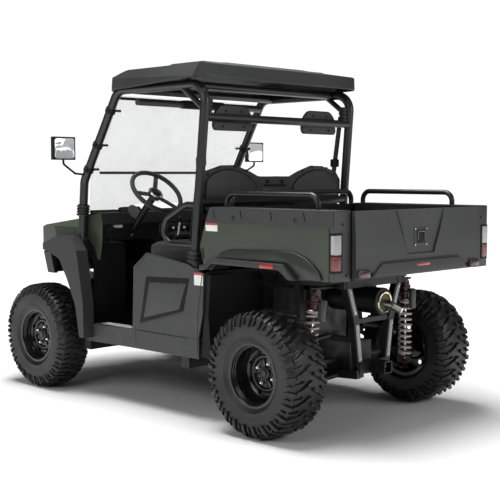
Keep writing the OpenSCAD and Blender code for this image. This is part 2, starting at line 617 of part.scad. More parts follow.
module front_fenders() {
  // Outer edge line of the mudguard, from its foot up over the wheel to the nose
  color(dark) both_sides() difference() {
    intersection() {
      slab_y([[xf(-482), 351], [xf(-440), 351], [xf(-405), 536], [xf(-326), 684], [xf(-250), 800], [xf(-120), 848], [xf(40), 848],
              [xf(40), 880], [xf(-85), 890], [xf(-225), 935], [xf(-354), 935], [xf(-420), 857], [xf(-480), 553]], fender_y, fender_out);
      slab_z([[xf(-500), fender_y - 20], [xf(-500), fender_out + 10], [xf(-95), fender_out + 10], [xf(30), fender_y + 14],
              [xf(50), fender_y - 20]], 300, 1000);
    }
    slab_y([[xf(-464), 345], [xf(-464), 536], [xf(-400), 857], [xf(-345), 912], [xf(-232), 912], [xf(-88), 866], [xf(60), 856],
            [xf(600), 856], [xf(600), 345]], fender_y - 10, fender_out - 26);
    box([xf(-490), fender_y - 10, 340], [xf(-300), skin_y + 6, 1000]);
    slab_y([[xf(-490), 300], [xf(-410), 300], [xf(-410), 405], [xf(-450), 430], [xf(-490), 440]], fender_y - 10, hw + fit);
  }
}
mirror_c = [xf(-400), hw + 138, 1450];
module side_mirrors() {
  color(black) both_sides() {
    p = on_pillar(1300) + [0, cage_d / 2 + fit, 0];
    bent([p, p + [2, 58, 6], mirror_c + [0, 0, -90], mirror_c + [0, 0, -60]], 12, 20);
    translate(mirror_c) box([-14, -75, -66], [14, 75, 66]);
  }
}

// ---------- running gear ----------
engine_x = [xr(120), xr(400)];
engine_z = [rail_z + 22 + fit, 690];
module engine_block() {
  color(steel) box([engine_x[0], -150, engine_z[0]], [engine_x[1], 150, engine_z[1]]);
}
muffler_d = 140;
muffler_c = [xr(-250), 0, 645];
module muffler() {
  color(black) {
    rod(muffler_c, muffler_c + [330, 0, 0], muffler_d);
    bent([muffler_c + [2, 0, -10], muffler_c + [-30, -10, -14], muffler_c + [-62, -62, -48]], 40, 36);
    box([arm_x - 15, -20, muffler_c.z + muffler_d / 2 - 8], [arm_x + 15, 20, deck_z - 20 - fit]);
  }
}
receiver_o = receiver_w + 2 * receiver_wall;
receiver_z = rail_z + 32;
receiver_x = arm_x - 22 - 90;
module hitch_receiver() {
  color(black) difference() {
    translate([receiver_x, -receiver_o / 2, receiver_z - receiver_o / 2]) cube([90 - fit, receiver_o, receiver_o]);
    translate([receiver_x - 1, -receiver_w / 2, receiver_z - receiver_w / 2]) cube([80, receiver_w, receiver_w]);
    translate([receiver_x + 40, -receiver_o, receiver_z]) rotate([-90, 0, 0]) cylinder(h = 2 * receiver_o, d = hitch_pin_d);
  }
}
// A-arm with its inner pivots half_l each side of x0 and its ball joint. A cross tie at tie_y runs
// back to tie_x, where it is further back than the arm's rear leg
module wishbone(x0, half_l, y_in, z_in, ball, tie_y, tie_x) {
  inner = [x0 + half_l, y_in, z_in];
  tie = inner + (ball - inner) * (tie_y - y_in) / (ball.y - y_in);
  for (s = [-1, 1]) rod([x0 + s * half_l, y_in, z_in], ball, arm_d);
  rod(tie, [min(2 * x0 - tie.x, tie_x), tie.y, tie.z], tie_d);
  translate(ball - [0, 0, ball_half]) cylinder(h = 2 * ball_half, d = arm_d + 8);
}
module front_arms() {
  color(black) both_sides() {
    wishbone(x_fa, 120, low_arm_y, rail_z, front_low_ball, 330, x_fa);
    wishbone(x_fa, 100, front_high_y, upper_arm_z, front_high_ball, front_damper[1].y, x_fa);
  }
}
module rear_arms() {
  color(black) both_sides() {
    wishbone(x_ra, 120, low_arm_y, rail_z, rear_low_ball, rear_damper[1].y, rear_damper[1].x - 14);
    wishbone(x_ra, 70, rail_y + 30, upper_arm_z, rear_high_ball, 330, x_ra);
  }
}
spring_d = 80;
spring_top = 50;              // upper eye to the spring's top end
spring_foot = 40;             // lower eye to the spring's bottom end
module dampers() {
  color(steel) both_sides() for (d = [rear_damper, front_damper]) {
    v = unit(d[1] - d[0]);
    rod(d[0], d[0] + v * 130, 46);
    rod(d[0] + v * 120, d[1], 16);
    rod(d[0] + v * (spring_top - 6), d[0] + v * (spring_top - fit), spring_d + 6);
    rod(d[1] - v * (spring_foot - fit), d[1] - v * (spring_foot - 6), spring_d + 6);
    for (i = [0, 1]) translate(d[i] - [12, 0, 0]) rotate([0, 90, 0]) cylinder(h = 24, d = eye_d[i]);
  }
}
module coil_springs() {
  color(steel) both_sides() for (d = [rear_damper, front_damper]) {
    v = d[1] - d[0];
    translate(d[0]) rotate([0, acos(v.z / norm(v)), atan2(v.y, v.x)])
      difference() {
        translate([0, 0, spring_top]) cylinder(h = norm(v) - spring_top - spring_foot, d = spring_d);
        translate([0, 0, spring_top - 10]) cylinder(h = norm(v), d = spring_d - 24);
      }
  }
}
prop_d = 30;
prop_z = rail_z + 22 + 8 + prop_d / 2 + 6;
module drive_line() {
  gear_z = rail_z + 22 + fit;
  color(steel) {
    box([xr(-100), -90, 250], [xr(112), 90, 420]);
    box([xr(100), -60, 250], [xr(150) - 22 - fit, 60, gear_z - 8]);
    box([xf(-70), -80, gear_z], [xf(160), 80, 400]);
    rod([engine_x[1] + fit, 0, prop_z], [xf(-70), 0, prop_z], prop_d);
    both_sides() {
      rod([x_ra, 88, axle_z], [x_ra, rear_ball_y - 16 - fit, axle_z], 26);
      rod([x_fa, 78, axle_z + 30], [x_fa, kingpin_y - 17 - 12, axle_z], 24);
    }
  }
}

// ---------- cargo bed ----------
bed_front_x = xr(380);
bed_rear_x = xr(-452);
bed_base_z = bed_floor_z - bed_wall;
tub_half = gate_w / 2;
bed_side_t = 8;
gate_gap = 8;                 // between the bed's rear face and the tailgate
gate_pin_d = 10;
gate_lug_y = [400, 415];
gate_low_z = bed_base_z - 22;
gate_pivot = [bed_rear_x - gate_gap - 11, 0, gate_low_z + 8];
module bed_tub() {
  color(dark) {
    box([bed_rear_x, -tub_half, bed_base_z], [bed_front_x, tub_half, bed_floor_z]);
    box([bed_front_x - bed_wall, -tub_half, bed_base_z], [bed_front_x, tub_half, bed_rim_z]);
    both_sides() {
      box([bed_rear_x, tub_half - bed_wall, bed_base_z], [bed_front_x, tub_half, bed_rim_z]);
      box([arm_x - 22, runner_y[0], pivot_z - 22], [arm_x + 22, runner_y[0] + 12, bed_base_z]);
      box([arm_x + 60, runner_y[0], runner_z], [bed_front_x - 40, runner_y[1], bed_base_z]);
      translate([arm_x, hinge_y[0] - 12, pivot_z]) rotate([-90, 0, 0])
        cylinder(h = runner_y[0] + 6 - hinge_y[0] + 12, d = pivot_d);
      box([gate_pivot.x - 9, gate_lug_y[0], gate_pivot.z - 9], [bed_rear_x + 20, gate_lug_y[1], bed_base_z]);
      translate([gate_pivot.x, gate_lug_y[0] - 14, gate_pivot.z]) rotate([-90, 0, 0])
        cylinder(h = gate_lug_y[1] - gate_lug_y[0] + 28, d = gate_pin_d);
    }
  }
}
module bed_side_panels() {
  color(green) both_sides() difference() {
    slab_y([[xr(385), bed_rim_z], [xr(430), 1015], [xr(456), 931], [xr(421), 810], [xr(372), 808], [xr(329), 848], [xr(-139), 846],
            [xr(-205), 798], [bed_rear_x, 802], [bed_rear_x, bed_rim_z]], tub_half + fit, hw);
    slab_y([[xr(340), 780], [xr(340), bed_rim_z - 20], [bed_rear_x + 12, bed_rim_z - 20], [bed_rear_x + 12, 780]],
           tub_half + 12, hw - bed_side_t);
  }
}
rail_top_z = bed_rim_z + 72;
rail_side_y = hw - 85;
module bed_rails() {
  side = [xr(338), rail_side_y, bed_rim_z + fit];
  back = [xr(-285), rail_side_y, bed_rim_z + fit];
  cross_foot = [bed_front_x - bed_wall / 2, -tub_half + 30, bed_rim_z + fit];
  rise = [0, 0, rail_top_z - bed_rim_z - fit];
  color(black) {
    both_sides() bent([side, side + rise, back + rise, back], rail_d, rail_bend_r);
    bent([cross_foot, cross_foot + rise, mirrored(cross_foot + rise), mirrored(cross_foot)], rail_d, rail_bend_r);
  }
}
module tail_lamps() {
  color([0.8, 0.2, 0.2]) both_sides()
    box([bed_rear_x - 12, hw - 62, 850], [bed_rear_x - fit, hw - 2, 1026]);
}

// ---------- tailgate ----------
gate_back_x = xr(-rear_overhang);
gate_t = 18;
module tailgate() {
  front_x = bed_rear_x - gate_gap;
  color(dark) difference() {
    slab_y([[front_x, gate_low_z], [front_x, bed_rim_z], [front_x - gate_t, bed_rim_z], [gate_back_x, 960], [gate_back_x, gate_low_z]],
           -tub_half + 2, tub_half - 2);
    slab_x([[-108, 908], [108, 908], [200, bed_rim_z + 5], [-200, bed_rim_z + 5]], gate_back_x - 5, gate_back_x + 8);
    both_sides() box([gate_back_x - 5, gate_lug_y[0] - gap, gate_low_z - 5], [front_x + 5, gate_lug_y[1] + gap, gate_pivot.z + 19]);
    both_sides() translate([gate_pivot.x, gate_lug_y[0] - 15, gate_pivot.z]) rotate([-90, 0, 0])
      cylinder(h = gate_lug_y[1] - gate_lug_y[0] + 30, d = gate_pin_d + 2 * fit);
  }
}

chassis_frame();
skid_plate();
floor_pan();
seat_base_panels();
rocker_sills();
front_fenders();
hood();
front_fascia();
headlights();
front_bumper();
dashboard();
steering_column();
foot_pedals();
roll_cage();
roof();
windshield();
seat_cushions();
seat_backs();
seat_shell();
headrests();
seat_belts();
side_mirrors();
wheel_arch_liners();
engine_block();
muffler();
hitch_receiver();
front_arms();
rear_arms();
dampers();
coil_springs();
rear_knuckles();
drive_line();
bed_tub();
bed_side_panels();
bed_rails();
tail_lamps();
tailgate();
steering_wheel();
steering_rack();
front_knuckle();  // left_front_knuckle
mirror([0, 1, 0]) front_knuckle();  // right_front_knuckle
at_wheel(x_fa, front_wheel_y) tyre(front_tyre_w);  // left_front_tyre
at_wheel(x_fa, front_wheel_y) rim(front_tyre_w, front_disc_y, front_stub_y);  // left_front_rim
at_wheel(x_fa, -front_wheel_y) tyre(front_tyre_w);  // right_front_tyre
mirror([0, 1, 0]) at_wheel(x_fa, front_wheel_y) rim(front_tyre_w, front_disc_y, front_stub_y);  // right_front_rim
at_wheel(x_ra, rear_wheel_y) tyre(rear_tyre_w);  // left_rear_tyre
at_wheel(x_ra, rear_wheel_y) rim(rear_tyre_w, rear_disc_y, rear_stub_y);  // left_rear_rim
at_wheel(x_ra, -rear_wheel_y) tyre(rear_tyre_w);  // right_rear_tyre
mirror([0, 1, 0]) at_wheel(x_ra, rear_wheel_y) rim(rear_tyre_w, rear_disc_y, rear_stub_y);  // right_rear_rim
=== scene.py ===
import math

import bpy
from mathutils import Matrix, Vector


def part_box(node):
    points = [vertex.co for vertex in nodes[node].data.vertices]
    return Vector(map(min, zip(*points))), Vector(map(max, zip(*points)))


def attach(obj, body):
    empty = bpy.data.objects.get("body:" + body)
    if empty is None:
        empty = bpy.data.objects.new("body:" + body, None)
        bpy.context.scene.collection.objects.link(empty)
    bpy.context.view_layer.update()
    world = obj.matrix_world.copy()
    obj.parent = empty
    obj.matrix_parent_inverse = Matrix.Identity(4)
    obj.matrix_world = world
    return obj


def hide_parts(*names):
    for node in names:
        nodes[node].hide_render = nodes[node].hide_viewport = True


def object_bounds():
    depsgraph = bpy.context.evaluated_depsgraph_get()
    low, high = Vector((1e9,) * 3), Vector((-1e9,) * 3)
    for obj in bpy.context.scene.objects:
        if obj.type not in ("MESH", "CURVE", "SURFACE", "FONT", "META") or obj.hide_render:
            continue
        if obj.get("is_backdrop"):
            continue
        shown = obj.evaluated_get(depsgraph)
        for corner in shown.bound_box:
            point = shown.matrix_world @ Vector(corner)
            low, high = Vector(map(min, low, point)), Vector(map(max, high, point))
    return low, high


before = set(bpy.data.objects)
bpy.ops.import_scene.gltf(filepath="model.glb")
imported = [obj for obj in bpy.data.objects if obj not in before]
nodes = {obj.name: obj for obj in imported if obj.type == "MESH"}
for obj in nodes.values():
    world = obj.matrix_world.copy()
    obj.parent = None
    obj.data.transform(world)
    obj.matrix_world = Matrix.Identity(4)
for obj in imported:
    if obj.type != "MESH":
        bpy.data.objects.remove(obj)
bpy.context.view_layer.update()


# ---- places on the vehicle, from the frame ----
def middle(node):
    low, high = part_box(node)
    return (low + high) / 2


rearAxle = middle("left_rear_tyre")
frontAxle = middle("left_front_tyre")
axleZ = rearAxle.z
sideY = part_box("bed_side_panels")[1].y          # outer face of the body panels


def fromRear(x):
    return rearAxle.x + x


def fromFront(x):
    return frontAxle.x + x


# ---- working in object and edit mode ----
def deselect():
    if bpy.context.mode != "OBJECT":
        bpy.ops.object.mode_set(mode="OBJECT")
    bpy.ops.object.select_all(action="DESELECT")


def pick(*pieces):
    deselect()
    for piece in pieces:
        piece.select_set(True)
    bpy.context.view_layer.objects.active = pieces[0]


def calledAs(name):
    piece = bpy.context.view_layer.objects.active
    piece.name = name
    piece.data.name = name
    return piece


def inEdit(piece, work):
    pick(piece)
    bpy.ops.object.mode_set(mode="EDIT")
    bpy.ops.mesh.select_all(action="SELECT")
    work()
    bpy.ops.object.mode_set(mode="OBJECT")


def tidyNormals():
    bpy.ops.mesh.remove_doubles(threshold=0.00001)
    bpy.ops.mesh.normals_make_consistent(inside=False)


def modify(piece, kind, **settings):
    pick(piece)
    modifier = piece.modifiers.new(kind.title(), kind)
    for key, value in settings.items():
        setattr(modifier, key, value)
    bpy.ops.object.modifier_apply(modifier=modifier.name)


def smooth(piece, degrees=35):
    pick(piece)
    bpy.ops.object.shade_smooth_by_angle(angle=math.radians(degrees))


def softEdges(piece, width, segments=2, degrees=30):
    modify(piece, "BEVEL", width=width, segments=segments, limit_method="ANGLE",
           angle_limit=math.radians(degrees), use_clamp_overlap=True)


def joined(name, pieces):
    pick(*pieces)
    if len(pieces) > 1:
        bpy.ops.object.join()
    return calledAs(name)


def copied(piece, name):
    pick(piece)
    bpy.ops.object.duplicate()
    return calledAs(name)


def mirrored(piece, name):
    other = copied(piece, name)
    inEdit(other, lambda: (
        bpy.ops.transform.resize(value=(1, -1, 1), center_override=(0, 0, 0), orient_type="GLOBAL"),
        bpy.ops.mesh.normals_make_consistent(inside=False)))
    return other


# Give a piece its finish, the body it rides on and the CAD nodes it stands in for
def shown(piece, body, finish, stands=()):
    piece.data.materials.clear()
    piece.data.materials.append(finishes[finish] if isinstance(finish, str) else finish)
    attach(piece, body)
    if stands:
        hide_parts(*stands)
    return piece


# A flat outline given depth, with its edges rounded
def slab(name, outline, place, depth, bevel=0.003, segments=2):
    deselect()
    bpy.ops.mesh.primitive_circle_add(vertices=len(outline), fill_type="NGON")
    piece = calledAs(name)
    for vertex, point in zip(piece.data.vertices, outline):
        vertex.co = place(*point)
    inEdit(piece, lambda: (
        bpy.ops.mesh.extrude_region_move(TRANSFORM_OT_translate={"value": depth}),
        bpy.ops.mesh.select_all(action="SELECT"),
        bpy.ops.mesh.normals_make_consistent(inside=False)))
    if bevel:
        softEdges(piece, bevel, segments)
    smooth(piece)
    return piece


def sideSlab(name, outline, y, depth, bevel=0.003, segments=2):
    return slab(name, outline, lambda x, z: (x, y, z), (0, depth, 0), bevel, segments)


def backSlab(name, outline, x, depth, bevel=0.003, segments=2):
    return slab(name, outline, lambda y, z: (x, y, z), (depth, 0, 0), bevel, segments)


def topSlab(name, outline, z, depth, bevel=0.003, segments=2):
    return slab(name, outline, lambda x, y: (x, y, z), (0, 0, depth), bevel, segments)


def block(name, low, high, bevel=0.003, segments=2):
    low, high = Vector(low), Vector(high)
    deselect()
    bpy.ops.mesh.primitive_cube_add(size=1)
    piece = calledAs(name)
    inEdit(piece, lambda: (
        bpy.ops.transform.resize(value=high - low, center_override=(0, 0, 0)),
        bpy.ops.transform.translate(value=(low + high) / 2)))
    softEdges(piece, bevel, segments)
    smooth(piece)
    return piece


# A section of (radius, along) points turned about an axis
def turned(name, section, centre, axis=(0, 1, 0), steps=48):
    axis, centre = Vector(axis).normalized(), Vector(centre)
    away = axis.orthogonal().normalized()
    deselect()
    bpy.ops.mesh.primitive_circle_add(vertices=len(section), fill_type="NOTHING")
    piece = calledAs(name)
    for vertex, (radius, along) in zip(piece.data.vertices, section):
        vertex.co = centre + away * radius + axis * along
    inEdit(piece, lambda: (
        bpy.ops.mesh.spin(steps=steps, angle=2 * math.pi, center=centre, axis=axis),
        bpy.ops.mesh.select_all(action="SELECT"),
        tidyNormals()))
    smooth(piece, 32)
    return piece


def arcPoints(a, b, c, radius, steps=6):
    u, v = (a - b).normalized(), (c - b).normalized()
    half = u.angle(v) / 2
    if half > math.pi / 2 - 0.01:
        return [b]
    reach = min(radius / math.tan(half), (a - b).length * 0.48, (c - b).length * 0.48)
    radius = reach * math.tan(half)
    centre = b + (u + v).normalized() * (radius / math.sin(half))
    start, end = b + u * reach - centre, b + v * reach - centre
    turn = start.angle(end)
    side = start.cross(end).normalized()
    return [centre + Matrix.Rotation(turn * i / steps, 3, side) @ start for i in range(steps + 1)]


def bentLine(points, radius):
    points = [Vector(p) for p in points]
    line = [points[0]]
    for i in range(1, len(points) - 1):
        line += arcPoints(points[i - 1], points[i], points[i + 1], radius)
    return line + [points[-1]]


# A round tube along a line of points, its corners bent to a radius
def pipe(name, points, radius, bend=0.0, detail=3):
    line = bentLine(points, bend) if bend else [Vector(p) for p in points]
    deselect()
    bpy.ops.curve.primitive_bezier_curve_add()
    piece = calledAs(name)
    curve = piece.data
    curve.splines.clear()
    spline = curve.splines.new("POLY")
    spline.points.add(len(line) - 1)
    for point, place in zip(spline.points, line):
        point.co = (*place, 1)
    curve.dimensions = "3D"
    curve.bevel_depth = radius
    curve.bevel_resolution = detail
    curve.use_fill_caps = True
    bpy.ops.object.convert(target="MESH")
    piece = calledAs(name)
    inEdit(piece, tidyNormals)
    smooth(piece, 45)
    return piece


# Round-headed screw or hexagon bolt head at a point, facing along axis
def boltHead(name, centre, axis, radius=0.008, height=0.005, sides=6):
    deselect()
    direction = Vector(axis).normalized()
    bpy.ops.mesh.primitive_cylinder_add(vertices=sides, radius=radius, depth=height)
    piece = calledAs(name)
    spot = Vector(centre) + direction * (height / 2)
    piece.data.transform(Matrix.Translation(spot) @ direction.to_track_quat("Z", "Y").to_matrix().to_4x4())
    softEdges(piece, min(radius, height) * 0.25, 2)
    smooth(piece)
    return piece


def bolts(name, spots, axis, radius=0.008, height=0.005, sides=6):
    return joined(name, [boltHead(f"{name}_{i}", s, axis, radius, height, sides) for i, s in enumerate(spots)])


def cutBy(piece, cutter):
    modify(piece, "BOOLEAN", operation="DIFFERENCE", object=cutter, solver="EXACT")
    bpy.data.objects.remove(cutter)
    smooth(piece, 25)
    modify(piece, "WEIGHTED_NORMAL", keep_sharp=True)


# ---- shader maths ----
class Value:
    def __init__(self, finish, socket):
        self.finish = finish
        self.socket = socket

    def join(self, operation, first, second):
        return self.finish.node("ShaderNodeMath", {"operation": operation}, {0: first, 1: second})

    def __add__(self, other):
        return self.join("ADD", self, other)

    __radd__ = __add__

    def __sub__(self, other):
        return self.join("SUBTRACT", self, other)

    def __rsub__(self, other):
        return self.join("SUBTRACT", other, self)

    def __mul__(self, other):
        return self.join("MULTIPLY", self, other)

    __rmul__ = __mul__

    def above(self, other):
        return self.join("GREATER_THAN", self, other)

    def most(self, other):
        return self.join("MAXIMUM", self, other)


class Finish:
    def __init__(self, name, **fixed):
        self.material = bpy.data.materials.new(name)
        self.material.use_nodes = True
        self.tree = self.material.node_tree
        self.shader = self.tree.nodes["Principled BSDF"]
        self.spot = self.node("ShaderNodeTexCoord", out="Object")
        for key, value in fixed.items():
            self.shader.inputs[key.replace("_", " ")].default_value = value

    def node(self, kind, settings=None, sockets=None, out=0):
        made = self.tree.nodes.new(kind)
        for key, value in (settings or {}).items():
            setattr(made, key, value)
        for key, value in (sockets or {}).items():
            if isinstance(value, Value):
                self.tree.links.new(value.socket, made.inputs[key])
            else:
                made.inputs[key].default_value = value
        return Value(self, made.outputs[out])

    def noise(self, scale, detail=4.0, roughness=0.55, vector=None):
        return self.node("ShaderNodeTexNoise", {},
                         {"Vector": vector or self.spot, "Scale": scale, "Detail": detail, "Roughness": roughness})

    def cells(self, scale, feature="F1"):
        return self.node("ShaderNodeTexVoronoi", {"feature": feature},
                         {"Vector": self.spot, "Scale": scale}, "Distance")

    def waves(self, scale, direction, vector=None, distortion=0.0):
        return self.node("ShaderNodeTexWave", {"bands_direction": direction},
                         {"Vector": vector or self.spot, "Scale": scale, "Distortion": distortion})

    def stretched(self, scale):
        return self.node("ShaderNodeMapping", {}, {"Vector": self.spot, "Scale": scale})

    def between(self, value, low, high):
        return self.node("ShaderNodeMapRange", {}, {0: value, 1: low, 2: high})

    def blend(self, share, first, second):
        return self.node("ShaderNodeMix", {"data_type": "RGBA"}, {0: share, 6: first, 7: second}, 2)

    def heightOf(self):
        return self.node("ShaderNodeSeparateXYZ", {}, {0: self.spot}, 2)

    def feed(self, name, value):
        self.tree.links.new(value.socket, self.shader.inputs[name])

    def raised(self, height, strength, distance):
        self.feed("Normal", self.node("ShaderNodeBump", {},
                                      {"Strength": strength, "Distance": distance, "Height": height}))


def shaded(colour, share, lift=0.0):
    return tuple(min(1, c * share + lift) for c in colour[:3]) + (1,)


# Injection-moulded plastic: fine pebble grain, faint flow marks, dust low down
def mouldedPlastic(name, colour, rough=0.55, grain=0.35, dust=0.25, shine=0.5):
    f = Finish(name, Specular_IOR_Level=shine)
    flow = f.noise(2.2, 6)
    speck = f.noise(38, 3)
    low = 1 - f.between(f.heightOf(), 0.28, 0.75)
    dusty = (0.21, 0.195, 0.17, 1)
    base = f.blend(f.between(flow * 0.7 + speck * 0.3, 0.42, 0.62), colour, shaded(colour, 1.35, 0.003))
    f.feed("Base Color", f.blend(low * f.between(f.noise(9, 5), 0.45, 0.75) * dust, base, dusty))
    f.feed("Roughness", f.between(flow, 0.2, 0.8) * 0.16 + (rough - 0.08))
    f.raised(f.cells(820) * 0.7 + f.noise(240, 2) * 0.3, grain, 0.0006)
    return f.material


# Painted body panel: even colour, slight waviness, clear top coat
def panelPaint(name, colour):
    f = Finish(name, Coat_Weight=0.15, Coat_Roughness=0.28)
    flow = f.noise(3.5, 5)
    low = 1 - f.between(f.heightOf(), 0.75, 1.0)
    tone = f.blend(f.between(flow, 0.35, 0.65), shaded(colour, 0.82), colour)
    f.feed("Base Color", f.blend(low * f.between(f.noise(12, 5), 0.5, 0.8) * 0.12, tone, (0.16, 0.15, 0.12, 1)))
    f.feed("Roughness", f.between(f.noise(30, 4), 0.2, 0.8) * 0.12 + 0.36)
    f.raised(f.noise(420, 2), 0.10, 0.0004)
    return f.material


# Powder-coated steel with fine orange peel and scuffed spots
def powderCoat(name, colour, rough=0.36, scuff=0.35, shine=0.5):
    f = Finish(name, Specular_IOR_Level=shine)
    worn = f.between(f.noise(26, 8, 0.7), 0.66, 0.74) * f.between(f.noise(3, 2), 0.45, 0.6)
    f.feed("Base Color", f.blend(worn * scuff, colour, (0.14, 0.135, 0.13, 1)))
    f.feed("Roughness", f.between(f.noise(8, 5), 0.25, 0.75) * 0.14 + (rough - 0.07) + worn * 0.2)
    f.raised(f.noise(650, 3) * 0.6 + f.cells(380) * 0.4, 0.16, 0.0005)
    return f.material


# Bare or plated metal with brushed lines
def metal(name, colour, rough=0.28, lines=(4, 4, 160), grime=0.3):
    f = Finish(name, Metallic=1.0)
    brushed = f.noise(14, 6, 0.6, f.stretched(lines))
    dirt = f.between(f.noise(22, 6), 0.5, 0.72) * grime
    f.feed("Base Color", f.blend(dirt, colour, (0.10, 0.085, 0.07, 1)))
    f.feed("Roughness", brushed * 0.18 + (rough - 0.09) + dirt * 0.35)
    f.raised(brushed, 0.12, 0.0003)
    return f.material


def castMetal(name, colour):
    f = Finish(name, Metallic=0.75)
    dirt = f.between(f.noise(10, 7), 0.42, 0.66)
    f.feed("Base Color", f.blend(dirt * 0.75, colour, (0.035, 0.032, 0.03, 1)))
    f.feed("Roughness", 0.42 + dirt * 0.3)
    f.raised(f.noise(260, 6, 0.7), 0.45, 0.0008)
    return f.material


# Tyre rubber: matt, with a few pale dust specks scattered all over
def tyreRubber(name):
    f = Finish(name)
    bloom = f.between(f.noise(7, 6), 0.35, 0.7)
    specks = f.between(f.noise(95, 5), 0.5, 0.8)
    tone = f.blend(bloom, (0.004, 0.004, 0.0042, 1), (0.012, 0.0117, 0.0113, 1))
    f.feed("Base Color", f.blend(specks * 0.12, tone, (0.10, 0.095, 0.085, 1)))
    f.feed("Roughness", 0.40 + bloom * 0.22)
    f.raised(f.noise(330, 4) * 0.6 + f.cells(150) * 0.4, 0.3, 0.0007)
    return f.material


def seatVinyl(name, colour):
    f = Finish(name, Sheen_Weight=0.12, Sheen_Roughness=0.5)
    grain = f.cells(420, "DISTANCE_TO_EDGE")
    wear = f.between(f.noise(6, 5), 0.4, 0.7)
    f.feed("Base Color", f.blend(wear, colour, shaded(colour, 1.7)))
    f.feed("Roughness", 0.52 + wear * 0.14)
    f.raised(f.between(grain, 0.0, 0.12) + f.noise(900, 2) * 0.2, 0.4, 0.0007)
    return f.material


def webbingCloth(name, colour):
    f = Finish(name, Sheen_Weight=0.2)
    weave = f.waves(95.0, "Y", None, 0.3) * 0.5 + f.waves(120.0, "Z", None, 0.4) * 0.5
    f.feed("Base Color", f.blend(weave, colour, shaded(colour, 1.9)))
    f.feed("Roughness", 0.7 + weave * 0.15)
    f.raised(weave, 0.6, 0.0008)
    return f.material


def clearSheet(name):
    f = Finish(name, Roughness=0.06, IOR=1.49, Specular_IOR_Level=0.6)
    haze = f.between(f.noise(5, 6), 0.35, 0.75)
    film = f.between(f.noise(60, 5), 0.55, 0.8)
    f.feed("Base Color", f.blend(haze, (0.62, 0.64, 0.65, 1), (0.75, 0.76, 0.76, 1)))
    f.feed("Alpha", haze * 0.05 + film * 0.03 + 0.16)
    f.raised(f.noise(3, 2), 0.05, 0.001)
    return f.material


# Lamp lens with moulded ribs, lit softly from behind
def ribbedLens(name, colour, glow, ribs=90.0):
    f = Finish(name, Roughness=0.12, Coat_Weight=0.6, Emission_Strength=glow)
    facets = f.waves(ribs, "Z") * 0.5 + f.waves(ribs, "Y") * 0.5
    deep = shaded(colour, 0.35)
    f.feed("Base Color", f.blend(facets, deep, colour))
    f.feed("Emission Color", f.blend(facets, deep, colour))
    f.raised(facets, 0.7, 0.0015)
    return f.material


def reflectorRed(name, colour):
    f = Finish(name, Roughness=0.2, Coat_Weight=0.5)
    facets = f.cells(240, "DISTANCE_TO_EDGE")
    f.feed("Base Color", f.blend(f.between(facets, 0.0, 0.25), shaded(colour, 0.45), colour))
    f.raised(facets, 0.5, 0.0008)
    return f.material


# Blank label: off-white film with a coloured head band and a soft crease
def blankLabel(name, bandZ, band):
    f = Finish(name, Roughness=0.35)
    head = f.heightOf().above(bandZ)
    paper = f.blend(f.noise(30, 4), (0.66, 0.65, 0.62, 1), (0.78, 0.77, 0.74, 1))
    f.feed("Base Color", f.blend(head, paper, band))
    f.raised(f.noise(60, 3), 0.15, 0.0004)
    return f.material


# Mirror glass with a painted reflection: it glows, brighter towards the top, like a bright sky mirrored in it
def mirrorWithPaintedSky(name):
    f = Finish(name, Metallic=1.0, Emission_Strength=0.42)
    f.feed("Base Color", f.blend(f.noise(9, 4), (0.80, 0.81, 0.83, 1), (0.88, 0.89, 0.90, 1)))
    # painted reflection: the emission brightens with height like a mirrored sky
    f.feed("Emission Color", f.blend(f.between(f.heightOf(), 1.28, 1.52), (0.55, 0.56, 0.58, 1), (0.95, 0.96, 0.98, 1)))
    f.feed("Roughness", f.noise(40, 3) * 0.05 + 0.04)
    return f.material


def treadPlate(name):
    f = Finish(name, Metallic=0.85)
    one, two = (f.waves(55.0, "DIAGONAL", f.stretched((1, way, 1))) for way in (1, -1))
    lozenge = f.between(one.most(two), 0.7, 0.95)
    f.feed("Base Color", f.blend(lozenge, (0.50, 0.50, 0.50, 1), (0.80, 0.80, 0.79, 1)))
    f.feed("Roughness", 0.42 - lozenge * 0.16)
    f.raised(lozenge, 0.8, 0.0015)
    return f.material


